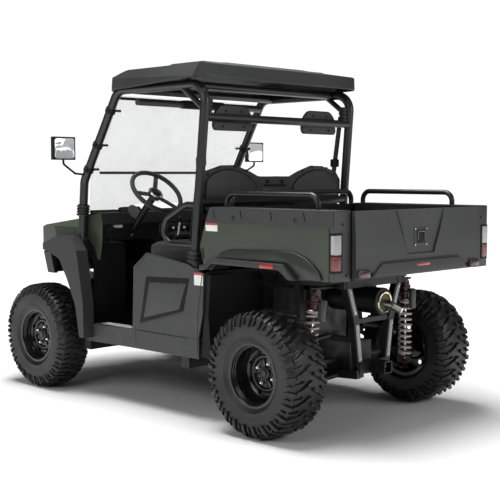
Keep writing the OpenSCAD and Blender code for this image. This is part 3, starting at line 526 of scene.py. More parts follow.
finishes = {
    "plastic": mouldedPlastic("moulded_plastic", (0.018, 0.0184, 0.0188, 1), 0.55, 0.3, 0.12),
    "roofPlastic": mouldedPlastic("roof_plastic", (0.014, 0.0144, 0.0148, 1), 0.55, 0.35, 0.05),
    "gatePlastic": mouldedPlastic("gate_plastic", (0.0205, 0.021, 0.0215, 1), 0.52, 0.3, 0.10),
    "cabPlastic": mouldedPlastic("cab_plastic", (0.027, 0.0275, 0.028, 1), 0.52, 0.3, 0.10),
    "darkPlastic": mouldedPlastic("dark_plastic", (0.004, 0.004, 0.0042, 1), 0.65, 0.4, 0.04, 0.25),
    "green": panelPaint("green_panel", (0.026, 0.037, 0.022, 1)),
    # darker copy of the green paint: painted shade, used on the arch dome
    "shadeGreen": panelPaint("deep_green_panel", (0.007, 0.0100, 0.0062, 1)),
    "cageBlack": powderCoat("cage_black", (0.009, 0.009, 0.0095, 1), 0.34, 0.2, 0.5),
    "frameBlack": powderCoat("frame_black", (0.006, 0.006, 0.0062, 1), 0.42, 0.35, 0.35),
    "frameGrey": powderCoat("frame_grey", (0.055, 0.055, 0.057, 1), 0.4, 0.5),
    "rimBlack": powderCoat("rim_black", (0.006, 0.006, 0.0065, 1), 0.24, 0.25),
    "rubber": tyreRubber("tyre_rubber"),
    "bootRubber": tyreRubber("boot_rubber"),
    "vinyl": seatVinyl("seat_vinyl", (0.010, 0.010, 0.011, 1)),
    "webbing": webbingCloth("belt_webbing", (0.009, 0.009, 0.010, 1)),
    "clear": clearSheet("clear_sheet"),
    "steel": metal("plated_steel", (0.56, 0.56, 0.57, 1)),
    "chrome": metal("bright_steel", (0.78, 0.78, 0.79, 1), 0.14, (3, 3, 3), 0.08),
    "brassy": metal("heat_tinted_cap", (0.60, 0.56, 0.38, 1), 0.2, (6, 6, 6), 0.25),
    "brassDark": metal("brass_soot", (0.09, 0.08, 0.045, 1), 0.5, (6, 6, 6), 0.7),
    "pipeSteel": metal("pipe_steel", (0.22, 0.21, 0.19, 1), 0.28, (6, 6, 6), 0.5),
    "cast": castMetal("cast_alloy", (0.10, 0.10, 0.102, 1)),
    "spring": powderCoat("spring_grey", (0.46, 0.44, 0.42, 1), 0.35, 0.6),
    "shockRed": powderCoat("damper_red", (0.050, 0.012, 0.010, 1), 0.35, 0.5),
    "guard": powderCoat("guard_grey", (0.30, 0.30, 0.30, 1), 0.45, 0.3),
    "whiteLens": ribbedLens("white_lens", (0.52, 0.51, 0.50, 1), 0.05),
    "redLens": ribbedLens("red_lens", (0.20, 0.022, 0.018, 1), 0.05),
    "lampLens": ribbedLens("head_lens", (0.75, 0.72, 0.45, 1), 0.3, 60.0),
    "reflector": reflectorRed("red_reflector", (0.40, 0.025, 0.018, 1)),
    "dullReflector": reflectorRed("dull_reflector", (0.055, 0.010, 0.012, 1)),
    "stepPlate": treadPlate("step_plate"),
    "mirror": mirrorWithPaintedSky("mirror_glass_painted_sky"),
    "silver": metal("brushed_silver", (0.62, 0.62, 0.63, 1), 0.3, (40, 4, 4), 0.1),
    "switch": ribbedLens("switch_light", (0.75, 0.76, 0.78, 1), 0.4, 30.0),
}
print("finishes made:", len(finishes))


# ---- carried-over CAD nodes ----
# node: finish, width of its rounded edges
nodeDress = {
    "chassis_frame": ("frameBlack", 0.003), "skid_plate": ("frameBlack", 0.001), "floor_pan": ("darkPlastic", 0),
    "seat_base_panels": ("cabPlastic", 0.002), "rocker_sills": ("cabPlastic", 0.004),
    "front_fenders": ("plastic", 0.006), "hood": ("green", 0.008), "front_fascia": ("plastic", 0.004),
    "headlights": ("lampLens", 0.003), "front_bumper": ("cageBlack", 0), "dashboard": ("darkPlastic", 0.006),
    "steering_column": ("frameBlack", 0), "foot_pedals": ("frameBlack", 0.001), "roll_cage": ("cageBlack", 0),
    "roof": ("roofPlastic", 0.012), "windshield": ("clear", 0), "seat_shell": ("plastic", 0.004),
    "seat_belts": ("webbing", 0), "side_mirrors": ("darkPlastic", 0.004), "wheel_arch_liners": ("darkPlastic", 0.002),
    "engine_block": ("cast", 0.006), "muffler": ("frameBlack", 0), "hitch_receiver": ("frameBlack", 0.0015),
    "front_arms": ("frameBlack", 0), "rear_arms": ("frameBlack", 0), "dampers": ("shockRed", 0),
    "rear_knuckles": ("cast", 0.003), "drive_line": ("cast", 0.004), "bed_tub": ("darkPlastic", 0.002),
    "bed_side_panels": ("green", 0.005), "bed_rails": ("cageBlack", 0), "tailgate": ("gatePlastic", 0.004),
    "steering_wheel": ("vinyl", 0), "steering_rack": ("steel", 0), "left_front_knuckle": ("cast", 0.003),
    "right_front_knuckle": ("cast", 0.003),
}
for node, (finish, rounding) in nodeDress.items():
    piece = nodes[node]
    for materialSlot in piece.material_slots:
        materialSlot.material = finishes[finish]
    if rounding:
        weld = piece.modifiers.new("Weld", "WELD")
        weld.merge_threshold = 0.00002
        flat = piece.modifiers.new("Flat", "DECIMATE")
        flat.decimate_type = "DISSOLVE"
        flat.angle_limit = math.radians(0.6)
        edge = piece.modifiers.new("Edge", "BEVEL")
        edge.width = rounding
        edge.segments = 3
        edge.limit_method = "ANGLE"
        edge.angle_limit = math.radians(18)
        edge.harden_normals = True
print("CAD nodes dressed:", len(nodeDress))


# ---- tyres ----
# Half section of the carcass as shares of the width, from the bead out to the crown
def carcass(width, radius, bead, lug):
    crown = radius - lug
    return [
        (bead + 0.003, 0.345 * width), (bead + 0.001, 0.40 * width), (bead + 0.012, 0.418 * width),
        (bead + 0.020, 0.450 * width), (bead + 0.028, 0.468 * width), (bead + 0.031, 0.482 * width),
        (bead + 0.035, 0.478 * width), (bead + 0.058, 0.494 * width), (bead + 0.085, 0.497 * width),
        (bead + 0.100, 0.491 * width), (bead + 0.103, 0.495 * width), (bead + 0.107, 0.486 * width),
        (crown - 0.026, 0.458 * width), (crown - 0.012, 0.425 * width), (crown - 0.003, 0.365 * width),
        (crown, 0.27 * width), (crown + 0.001, 0.14 * width), (crown + 0.0015, 0.0)]


# Point and outward direction of the carcass at a distance s from the crown line, towards side
def onCarcass(section, s):
    line = section[::-1]
    side = 1 if s >= 0 else -1
    left = abs(s)
    for (r0, y0), (r1, y1) in zip(line, line[1:]):
        length = math.hypot(r1 - r0, y1 - y0)
        if left <= length or (r1, y1) == line[-1]:
            t = left / length
            return r0 + (r1 - r0) * t, side * (y0 + (y1 - y0) * t), (y1 - y0) / length, -side * (r1 - r0) / length
        left -= length


# One tread block along a path of (round, across, half length) stations
def treadBlock(name, path, section, rise, centre, draft=0.0035):
    deselect()
    bpy.ops.mesh.primitive_grid_add(x_subdivisions=len(path) - 1, y_subdivisions=1, size=1)
    piece = calledAs(name)
    columns = sorted({round(v.co.x, 4) for v in piece.data.vertices})
    flat = []
    for vertex in piece.data.vertices:
        u, s, half = path[columns.index(round(vertex.co.x, 4))]
        flat.append((u, s, half, 1 if vertex.co.y > 0 else -1))
    inEdit(piece, lambda: bpy.ops.mesh.extrude_region_move(TRANSFORM_OT_translate={"value": (0, 0, 1)}))
    count = len(flat)
    reference = section[-1][0]
    outwards = 1 if path[0][1] < path[-1][1] else -1
    for i, vertex in enumerate(piece.data.vertices):
        u, s, half, edge = flat[i % count]
        top = vertex.co.z > 0.5
        leaning = outwards * draft if top and (u, s, half) == path[-1] else 0
        r, y, nr, ny = onCarcass(section, s + leaning)
        lift = rise if top else -0.004
        angle = (u + edge * (half - (draft if top else 0))) / reference
        distance = r + nr * lift
        vertex.co = (centre[0] + distance * math.sin(angle), centre[1] + y + ny * lift,
                     centre[2] + distance * math.cos(angle))
    inEdit(piece, lambda: bpy.ops.mesh.normals_make_consistent(inside=False))
    softEdges(piece, 0.0016, 1, 40)
    return piece


def treadRing(name, blocks, centre, count):
    ring = joined(name, blocks)
    inEdit(ring, lambda: bpy.ops.mesh.spin(steps=count - 1, dupli=True, angle=2 * math.pi * (count - 1) / count,
                                           center=centre, axis=(0, 1, 0)))
    return ring


rearTyre = {"width": 0.250, "bead": 0.153, "lug": 0.017, "pitches": 25}
frontTyre = {"width": 0.206, "bead": 0.153, "lug": 0.014, "pitches": 28}


# Name, path and height of the blocks on one half of the tread, then of those on the crown
def rearBlocks(pitch, lug):
    return [
        ("knob", [(0.002, 0.106, 0.0135), (0.001, 0.126, 0.0145), (0.0, 0.146, 0.0130), (0.0, 0.157, 0.0100)],
         lug - 0.002),
        ("stud", [(pitch / 2, 0.121, 0.0085), (pitch / 2, 0.136, 0.0095), (pitch / 2, 0.149, 0.0075)], lug - 0.004),
        ("arm", [(0.038, 0.046, 0.0100), (0.026, 0.064, 0.0120), (0.016, 0.084, 0.0120), (0.010, 0.098, 0.0105)],
         lug - 0.0015),
        ("mid", [(pitch * 0.80, 0.062, 0.0085), (pitch * 0.66, 0.082, 0.0100), (pitch * 0.58, 0.108, 0.0085)],
         lug - 0.003),
        ("crown", [(0.058, 0.006, 0.0100), (0.050, 0.022, 0.0120), (0.042, 0.038, 0.0100)], lug - 0.0015)], []


def frontBlocks(pitch, lug):
    return [
        ("knob", [(0.0, 0.082, 0.0130), (0.001, 0.100, 0.0140), (0.0, 0.120, 0.0125), (0.0, 0.131, 0.0095)],
         lug - 0.002),
        ("stud", [(pitch / 2, 0.094, 0.0080), (pitch / 2, 0.110, 0.0090), (pitch / 2, 0.124, 0.0070)], lug - 0.003),
        ("inner", [(0.020, 0.036, 0.0095), (0.012, 0.054, 0.0120), (0.008, 0.072, 0.0105)], lug - 0.0015),
        ("slant", [(pitch * 0.74, 0.044, 0.0075), (pitch * 0.60, 0.064, 0.0090), (pitch * 0.56, 0.080, 0.0080)],
         lug - 0.002)], [
        ("crown", [(0.012, -0.024, 0.0110), (-0.004, 0.0, 0.0125), (0.012, 0.024, 0.0110)], lug - 0.001),
        ("crownTwo", [(pitch * 0.44, -0.020, 0.0075), (pitch * 0.56, 0.020, 0.0075)], lug - 0.001)]


def tread(blocksOf, centre, section, radius, lug, pitches):
    pitch = 2 * math.pi * radius / pitches
    sided, crowns = blocksOf(pitch, lug)
    blocks = []
    for side, shift in ((1, 0), (-1, pitch / 2)):
        for name, path, rise in sided:
            there = [(shift + u, side * across, half) for u, across, half in path]
            blocks.append(treadBlock(name, there, section, rise, centre))
    for name, path, rise in crowns:
        blocks.append(treadBlock(name, path, section, rise, centre))
    return treadRing("treads", blocks, centre, pitches)


def tyre(name, node, spec, blocksOf):
    centre = middle(node)
    radius = (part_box(node)[1].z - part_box(node)[0].z) / 2
    half = carcass(spec["width"], radius, spec["bead"], spec["lug"])
    whole = half + [(r, -y) for r, y in half[-2::-1]]
    body = turned("carcass", whole, centre, (0, 1, 0), 96)
    lugs = tread(blocksOf, centre, half, radius - 0.004, spec["lug"], spec["pitches"])
    return joined(name, [body, lugs])


# ---- rims ----
rimParts = {"holes": 8, "holeRadius": 0.0135, "holeCircle": 0.105, "ribs": 4, "nuts": 4, "nutCircle": 0.055}


def onCircle(radius, y, angle):
    return Vector((radius * math.sin(angle), y, radius * math.cos(angle)))


def rim(name, node, spec, discY):
    centre = middle(node.replace("rim", "tyre"))
    w, bead, lip = spec["width"], spec["bead"], 0.165
    section = [
        (lip - 0.001, 0.400 * w), (lip, 0.412 * w), (lip - 0.003, 0.420 * w), (bead - 0.003, 0.415 * w),
        (bead - 0.006, 0.400 * w), (bead - 0.0065, 0.365 * w), (bead - 0.010, 0.355 * w), (bead - 0.0105, 0.320 * w),
        (bead - 0.014, 0.310 * w), (bead - 0.0145, 0.265 * w), (bead - 0.021, 0.200 * w),
        (bead - 0.0215, discY + 0.010), (bead - 0.0215, discY - 0.012), (bead - 0.021, -0.200 * w),
        (bead - 0.006, -0.270 * w), (bead - 0.006, -0.410 * w), (lip, -0.420 * w), (lip, -0.404 * w),
        (bead - 0.001, -0.396 * w), (bead - 0.001, -0.285 * w), (bead - 0.015, -0.220 * w), (bead - 0.015, 0.220 * w),
        (bead - 0.001, 0.285 * w), (bead - 0.001, 0.396 * w)]
    barrel = turned("barrel", section, centre, (0, 1, 0), 72)
    dish = turned("dish", [
        (bead - 0.019, discY + 0.006), (0.122, discY + 0.007), (0.112, discY + 0.001), (0.098, discY + 0.001),
        (0.088, discY + 0.006), (0.080, discY + 0.005), (0.072, discY - 0.006), (0.036, discY - 0.007),
        (0.030, discY - 0.003), (0.0, discY - 0.003), (0.0, discY - 0.012), (0.070, discY - 0.014),
        (0.084, discY - 0.004), (bead - 0.019, discY - 0.004)], centre, (0, 1, 0), 72)
    drills = []
    for i in range(rimParts["holes"]):
        angle = 2 * math.pi * (i + 0.5) / rimParts["holes"]
        deselect()
        bpy.ops.mesh.primitive_cylinder_add(
            vertices=20, radius=rimParts["holeRadius"], depth=0.08, rotation=(math.pi / 2, 0, 0),
            location=centre + onCircle(rimParts["holeCircle"], discY, angle))
        drills.append(calledAs(f"drill{i}"))
    cutBy(dish, joined("drills", drills))
    ribs = []
    for i in range(rimParts["ribs"]):
        angle = 2 * math.pi * i / rimParts["ribs"] + math.radians(20)
        out, along = onCircle(1, 0, angle), Vector((math.cos(angle), 0, -math.sin(angle)))
        base = centre + Vector((0, discY - 0.006, 0))
        ribs.append(slab(f"rib{i}", [(0.034, -0.011), (0.034, 0.011), (0.074, 0.017), (0.074, -0.017)],
                         lambda a, b, base=base, out=out, along=along: base + out * a + along * b,
                         (0, 0.007, 0), 0.002))
    smooth(dish, 32)
    return joined(name, [barrel, dish] + ribs)


def hubFittings(name, node, discY):
    centre = middle(node.replace("rim", "tyre"))
    cap = turned("cap", [(0.0, discY - 0.006), (0.033, discY - 0.006), (0.033, discY + 0.004), (0.029, discY + 0.009),
                         (0.019, discY + 0.011), (0.017, discY + 0.017), (0.0, discY + 0.018)], centre, (0, 1, 0), 32)
    nuts = []
    for i in range(rimParts["nuts"]):
        angle = 2 * math.pi * i / rimParts["nuts"] + math.radians(65)
        spot = centre + onCircle(rimParts["nutCircle"], discY - 0.007, angle)
        nuts.append(boltHead(f"nut{i}", spot, (0, 1, 0), 0.0115, 0.016))
        nuts.append(turned(f"dome{i}", [(0.0, 0.015), (0.0085, 0.015), (0.0075, 0.021), (0.004, 0.0245), (0.0, 0.0255)],
                           spot, (0, 1, 0), 16))
    return joined(name + "_cap", [cap]), joined(name + "_nuts", nuts)


# which wheels, their tyre, their blocks, and how far out the disc stands
wheelSets = [("rear", rearTyre, rearBlocks, 0.004), ("front", frontTyre, frontBlocks, 0.030)]
for end, spec, blocksOf, discY in wheelSets:
    left = "left_" + end
    leftTyre = tyre(left + "_tyre_shell", left + "_tyre", spec, blocksOf)
    leftRim = rim(left + "_rim_steel", left + "_rim", spec, discY)
    leftCap, leftNuts = hubFittings(left + "_hub", left + "_rim", discY)
    smooth(leftTyre, 28)
    for piece, finish, slotName, stood in ((leftTyre, "rubber", "tyre", "tyre"), (leftRim, "rimBlack", None, "rim"),
                                           (leftCap, "cageBlack", None, None), (leftNuts, "chrome", None, None)):
        other = mirrored(piece, piece.name.replace("left", "right"))
        for shownPiece, side in ((piece, "left"), (other, "right")):
            shown(shownPiece, f"{side}_{end}_wheel", finish,
                  (f"{side}_{end}_{stood}",) if stood else ())
print("wheels done")


# ---- cargo bed skins ----
# A left-hand piece and its twin on the right
def pair(name, piece, body, finish, stands=()):
    other = mirrored(piece, name + "_right")
    piece.name = name + "_left"
    shown(piece, body, finish, stands)
    shown(other, body, finish, stands)
    return piece, other


def rearLine(points):
    return [(fromRear(x), z) for x, z in points]


bedSkin = {"rim": 1.1302, "foot": 1.054, "back": -0.4515, "out": 0.0045, "notches": (0.343, 0.148, -0.058, -0.275),
           "screws": (0.201, -0.218), "screwZ": 1.083}
band = sideSlab("band", rearLine([(0.378, bedSkin["rim"]), (0.410, bedSkin["foot"]), (bedSkin["back"], bedSkin["foot"]),
                                  (bedSkin["back"], bedSkin["rim"])]), sideY + 0.0002, bedSkin["out"], 0.002)
notches = [sideSlab("notch", rearLine([(at, 1.119), (at + 0.008, 1.119), (at - 0.004, 1.078), (at - 0.011, 1.078)]),
                    sideY - 0.01, 0.02, 0) for at in bedSkin["notches"]]
notches += [turned("dimple", [(0.0, -0.004), (0.012, -0.004), (0.012, 0.01), (0.0, 0.01)],
                   (fromRear(at), sideY + 0.0045, bedSkin["screwZ"]), (0, 1, 0), 20) for at in bedSkin["screws"]]
cutBy(band, joined("notches", notches))
screws = bolts("screws", [(fromRear(at), sideY + 0.0006, bedSkin["screwZ"]) for at in bedSkin["screws"]],
               (0, 1, 0), 0.0075, 0.003, 12)
pair("bed_band", joined("band", [band, screws]), "cargo_bed", "plastic")
cap = block("cap", (fromRear(bedSkin["back"]), 0.5235, 1.1301), (fromRear(0.380), sideY + 0.0045, 1.1335), 0.0015)
pair("bed_rim_cap", cap, "cargo_bed", "plastic")
post = backSlab("post", [(0.524, 0.802), (0.524, 1.1295), (sideY + 0.002, 1.1295), (sideY + 0.002, 0.802)],
                fromRear(-0.4522), -0.0025, 0.001)
pair("bed_rear_post", post, "cargo_bed", "gatePlastic")
seam = block("seam", (fromRear(-0.428), sideY, 0.802), (fromRear(-0.424), sideY + 0.0012, 1.054), 0.0004)
slot = sideSlab("slot", rearLine([(0.428, 0.918), (0.442, 0.918), (0.431, 0.866), (0.418, 0.866)]), sideY, 0.0012,
                0.0005)
pair("bed_seams", joined("seams", [seam, slot]), "cargo_bed", "darkPlastic")
flare = sideSlab("flare", rearLine([(0.421, 0.808), (0.372, 0.812), (0.329, 0.846), (-0.139, 0.843), (-0.202, 0.799),
                                    (-0.240, 0.799), (-0.154, 0.873), (0.322, 0.875), (0.362, 0.842), (0.418, 0.836)]),
                 sideY - 0.001, 0.044, 0.006, 3)
pair("arch_flare", flare, "cargo_bed", "plastic")
# The dome over the arch takes the darker copy of the green: painted shade on the flare's upper face
dome = sideSlab("dome", rearLine([(0.333, 0.872), (0.290, 0.905), (0.224, 0.924), (-0.060, 0.934), (-0.207, 0.932),
                                  (-0.280, 0.910), (-0.334, 0.878), (-0.372, 0.845), (-0.387, 0.815), (-0.380, 0.803),
                                  (-0.236, 0.803), (-0.150, 0.875)]), sideY + 0.0001, 0.011, 0.009, 4)
pair("arch_dome", dome, "cargo_bed", "shadeGreen")
lamp = block("lamp", (fromRear(-0.112), sideY + 0.042, 0.846), (fromRear(-0.022), sideY + 0.0462, 0.870), 0.002)
pair("side_reflector", lamp, "cargo_bed", "reflector")
ties = bolts("ties", [(fromRear(-0.4548), 0.585, 1.07), (fromRear(-0.4548), 0.557, 0.83)], (-1, 0, 0), 0.006, 0.003, 10)
pair("post_screws", ties, "cargo_bed", "darkPlastic")
labelRed = (0.42, 0.05, 0.04, 1)


# A blank label on each side, low and high as (along, height), its head band above bandZ
def sideLabels(name, body, low, high, bandZ):
    for side, sign in (("left", 1), ("right", -1)):
        label = block(f"{name}_{side}", (fromRear(low[0]), sideY * sign, low[1]),
                      (fromRear(high[0]), (sideY + 0.0006) * sign, high[1]), 0.0002, 1)
        shown(label, body, blankLabel(f"{name}_{side}", bandZ, labelRed))


sideLabels("bed_label", "cargo_bed", (0.322, 1.010), (0.410, 1.052), 1.041)

# Tail lamps wrap the rear corner: dark bezel, clear upper lens, red lower lens
tail = {"y0": 0.594, "y1": 0.6485, "back": -0.4605, "deep": 0.026, "low": 0.852, "mid": 0.926, "top": 1.022}
bezel = block("bezel", (fromRear(tail["back"] + 0.002), tail["y0"] - 0.009, tail["low"] - 0.009),
              (fromRear(tail["back"] + tail["deep"] + 0.009), tail["y1"] - 0.001, tail["top"] + 0.009), 0.003)
pair("tail_lamp_bezel", bezel, "cargo_bed", "darkPlastic", ("tail_lamps",))
for name, z0, z1, finish in (("tail_white", tail["mid"] + 0.001, tail["top"], "whiteLens"),
                             ("tail_red", tail["low"], tail["mid"] - 0.001, "redLens")):
    lens = block(name, (fromRear(tail["back"]), tail["y0"], z0),
                 (fromRear(tail["back"] + tail["deep"]), tail["y1"], z1), 0.007, 4)
    pair(name + "_lens", lens, "cargo_bed", finish)
liner = sideSlab("liner", rearLine([(0.374, 0.8095), (0.3290, 0.8425), (-0.139, 0.8425), (-0.203, 0.7955),
                                    (-0.2060, 0.7935),
                                    (-0.1397, 0.8405), (0.3282, 0.8405), (0.3715, 0.8080)]), 0.5235, 0.1205, 0)
pair("arch_liner_skin", liner, "cargo_bed", "darkPlastic")
print("bed skins done")


# ---- tailgate ----
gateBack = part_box("tailgate")[0].x
lip = backSlab("tailgate_lip", [(-0.408, 0.812), (-0.322, 0.876), (0.322, 0.876), (0.408, 0.812)], gateBack + 0.0005,
               -0.012, 0.005, 3)
shown(lip, "tailgate", "gatePlastic")
ridge = pipe("tailgate_ridge", [(gateBack - 0.001, -0.410, 0.811), (gateBack - 0.003, -0.322, 0.879),
                                (gateBack - 0.003, 0.322, 0.879), (gateBack - 0.001, 0.410, 0.811)], 0.0035, 0.02)
shown(ridge, "tailgate", "plastic")
plate = block("tailgate_latch_plate", (gateBack + 0.0095, -0.056, 0.944), (gateBack + 0.0055, 0.056, 1.038), 0.002)
shown(plate, "tailgate", "plastic")
# A dark block behind the pull paints the shade of the latch recess; nothing is recessed
wellShade = block("tailgate_latch_well_painted_shade", (gateBack + 0.0085, -0.036, 0.958), (gateBack + 0.004, 0.036, 1.026), 0.004)
pull = pipe("tailgate_latch_pull", [(gateBack + 0.004, -0.029, 0.975), (gateBack + 0.001, -0.029, 1.018),
                                    (gateBack + 0.001, 0.029, 1.018),
                     (gateBack + 0.004, 0.029, 0.975)], 0.0042, 0.009)
shown(wellShade, "tailgate", "darkPlastic")
shown(pull, "tailgate", "frameGrey")
shown(bolts("tailgate_latch_screws", [(gateBack + 0.0056, y, z) for y in (-0.048, 0.048) for z in (0.951, 1.031)],
            (-1, 0, 0), 0.0048, 0.0025, 12), "tailgate", "steel")
for side, sign in (("left", 1), ("right", -1)):
    bump = block(f"tailgate_bump_{side}", (gateBack - 0.012, sign * 0.422, 0.812),
                 (gateBack + 0.001, sign * 0.512, 0.852), 0.004)
    shown(bump, "tailgate", "gatePlastic")
    glass = block(f"tailgate_reflector_{side}", (gateBack - 0.0135, sign * 0.430, 0.817),
                  (gateBack - 0.0115, sign * 0.505, 0.847), 0.0008)
    shown(glass, "tailgate", "dullReflector")
strip = backSlab("tailgate_marker", [(-0.058, 0.861), (0.058, 0.861), (0.052, 0.847), (-0.052, 0.847)],
                 gateBack - 0.0116, -0.0012, 0.0004)
shown(strip, "tailgate", "reflector")
recessFold = [backSlab("fold", [(sign * 0.200, 1.127), (sign * 0.206, 1.127), (sign * 0.1135, 0.908),
                                (sign * 0.108, 0.908)],
                       gateBack + 0.001, -0.0025, 0.0008) for sign in (1, -1)]
recessFold.append(block("foldLow", (gateBack - 0.0015, -0.113, 0.903), (gateBack + 0.001, 0.113, 0.9085), 0.0008))
shown(joined("tailgate_recess_edge", recessFold), "tailgate", "gatePlastic")
print("tailgate done")


# ---- cab side panels and sills ----
sidePanel = {"field": [(0.862, 0.711), (0.560, 0.724), (0.614, 0.582), (0.910, 0.510)],
             "grooveShade": [(0.892, 0.740), (0.538, 0.754), (0.584, 0.576), (0.948, 0.478)], "proud": 0.0065}
field = sideSlab("field", rearLine(sidePanel["field"]), sideY - 0.004, sidePanel["proud"] + 0.004, 0.005, 3)
pair("side_panel_field", field, "root", "cabPlastic")
# A thin dark sheet round the raised field paints the shade of its groove; no groove is cut
grooveShade = sideSlab("grooveShade", rearLine(sidePanel["grooveShade"]), sideY + 0.0001, 0.0005, 0.0002)
pair("side_panel_groove_painted_shade", grooveShade, "root", "darkPlastic")
lowEdge = pipe("lowEdge", [(fromRear(x), sideY + 0.0008, z) for x, z in [(0.960, 0.470), (0.580, 0.566)]], 0.0026)
topEdge = pipe("topEdge", [(fromRear(x), sideY + 0.0006, z) for x, z in
                     [(0.985, 0.780), (0.887, 0.862), (0.544, 0.815), (0.456, 0.800)]], 0.003, 0.02)
backEdge = pipe("backEdge", [(fromRear(x), sideY + 0.0002, z) for x, z in
                             [(0.436, 0.785), (0.476, 0.571), (0.478, 0.36)]], 0.003, 0.05)
pair("side_panel_edges", joined("edges", [lowEdge, topEdge, backEdge]), "root", "cabPlastic")
sillSeam = [(fromRear(0.560), sideY + 0.0003, 0.434), (fromRear(0.975), sideY + 0.0003, 0.434)]
pair("sill_line", joined("line", [pipe("a", sillSeam, 0.0018),
                                  pipe("b", [(fromRear(0.985), sideY + 0.0002, 0.434),
                                             (fromRear(0.985), sideY + 0.0002, 0.35)], 0.0014)]), "root", "darkPlastic")
step = block("step", (fromRear(1.035), 0.588, 0.4372), (fromRear(1.300), 0.6435, 0.4412), 0.0015)
pair("sill_step", step, "root", "stepPlate")
stepScrews = bolts("stepScrews", [(fromRear(1.045), 0.600, 0.4412), (fromRear(1.290), 0.600, 0.4412)],
                   (0, 0, 1), 0.005, 0.002, 12)
pair("sill_step_screws", stepScrews, "root", "steel")
sideLabels("panel_label", "root", (0.432, 0.722), (0.500, 0.788), 0.776)
print("cab sides done")


# ---- springs and dampers ----
# Axis points of the left dampers, upper then lower, and the turns of their coils
dampers = {"rear": ((-1.0240, 0.372, 0.7047), (-0.9850, 0.424, 0.2548), 11),
           "front": ((0.9700, 0.318, 0.7337), (0.9500, 0.400, 0.4681), 5.5)}
coilSpring = {"start": 0.092, "stop": 0.044, "radius": 0.0335, "wire": 0.0058}
for end, (top, foot, turns) in dampers.items():
    top, foot = Vector(top), Vector(foot)
    along = (foot - top).normalized()
    out = along.orthogonal().normalized()
    across = along.cross(out)
    reach = (foot - top).length
    span = reach - coilSpring["start"] - coilSpring["stop"]
    path = []
    steps = int(turns * 20)
    for i in range(steps + 1):
        t = i / steps
        rise = min(max((t - 0.07) / 0.86, 0), 1)
        angle = 2 * math.pi * turns * t
        ringed = out * (coilSpring["radius"] * math.cos(angle)) + across * (coilSpring["radius"] * math.sin(angle))
        path.append(top + along * (coilSpring["start"] + 0.006 + (span - 0.012) * rise) + ringed)
    coil = pipe("coil", path, coilSpring["wire"], detail=2)
    pair(f"{end}_coil_spring", coil, "root", "spring", ("coil_springs",))
    body = turned("body", [(0.0, 0.012), (0.027, 0.012), (0.029, 0.018), (0.029, 0.045), (0.026, 0.052),
                           (0.0245, 0.056),
                           (0.0245, 0.092), (0.0200, 0.096), (0.0200, 0.135), (0.0, 0.135)], top, along, 32)
    pair(f"{end}_damper_sleeve", body, "root", "shockRed")
    collar = turned("collar", [(0.0200, 0.084), (0.040, 0.085), (0.041, 0.089), (0.040, 0.0915), (0.0200, 0.0915)], top,
                    along, 32)
    pair(f"{end}_spring_collar", collar, "root", "steel")
    rod = turned("rod", [(0.0, 0.13), (0.0085, 0.13), (0.0085, reach - 0.02), (0.0, reach - 0.02)], top, along, 20)
    pair(f"{end}_damper_rod", rod, "root", "chrome")
    if end == "rear":
        side = Vector((-0.052, -0.004, 0.0))
        can = turned("can", [(0.0, 0.030), (0.016, 0.031), (0.018, 0.035), (0.018, 0.118), (0.0195, 0.120),
                             (0.0195, 0.136),
                             (0.015, 0.141), (0.0, 0.141)], top + side, along, 24)
        link = block("link", top + side + Vector((0.010, -0.008, -0.052)), top + Vector((-0.014, 0.008, -0.034)), 0.003)
        pair("damper_reservoir", joined("can", [can, link]), "root", "frameGrey")
print("springs done")


# ---- boots, clamps and bellows ----
# A rubber boot with a few folds between two points
def bellows(name, low, high, inner, outer, folds):
    low, high = Vector(low), Vector(high)
    length = (high - low).length
    section = [(inner, 0.0), (outer, 0.0)]
    for i in range(folds):
        a, b = length * i / folds, length * (i + 1) / folds
        section += [(outer, a + (b - a) * 0.15), (outer, a + (b - a) * 0.55), (outer - 0.006, a + (b - a) * 0.7),
                    (outer - 0.006, a + (b - a) * 0.9)]
    section += [(outer - 0.004, length), (inner, length)]
    return turned(name, section, low, high - low, 28)


def alongTube(a, b, z):
    a, b = Vector(a), Vector(b)
    return a + (b - a) * ((z - a.z) / (b.z - a.z))


postFoot, postElbow = (-0.324, 0.607, 0.354), (-0.444, 0.590, 1.729)
pillarBend, pillarKnee = (0.588, 0.607, 1.262), (0.620, 0.607, 0.905)
pillarTop = (0.286, 0.590, 1.775)
for name, a, b, low, high, radius, folds in (
        ("rear_boot", postFoot, postElbow, 0.836, 0.900, 0.040, 3),
        ("front_boot", pillarBend, pillarKnee, 1.058, 1.122, 0.039, 4)):
    boot = bellows("boot", alongTube(a, b, low), alongTube(a, b, high), 0.0252, radius, folds)
    pair(name, boot, "root", "bootRubber")
clamps = []
for z in (1.665, 1.470, 1.330):
    spot = alongTube(pillarBend, pillarTop, z)
    along = Vector(pillarTop) - Vector(pillarBend)
    clamps.append(turned("clamp", [(0.0248, -0.014), (0.0295, -0.014), (0.0305, -0.011), (0.0305, 0.011),
                                   (0.0295, 0.014),
                                   (0.0248, 0.014)], spot, along, 28))
    clamps.append(boltHead("knob", spot + Vector((-0.012, 0.028, 0.0)), (-0.3, 1, 0), 0.010, 0.012, 16))
pair("windshield_clamps", joined("clamps", clamps), "root", "darkPlastic")
print("boots and clamps done")


# ---- seats: padded pieces filled by a short cloth run ----
seatSim = {"voxel": 0.0085, "pressure": 4.0, "frames": 18, "cap": 0.009}


def rounded(points, radius):
    corners = [Vector((a, b, 0)) for a, b in points]
    line = []
    for i, corner in enumerate(corners):
        for spot in arcPoints(corners[i - 1], corner, corners[(i + 1) % len(corners)], radius, 5):
            line.append((spot.x, spot.y))
    return line


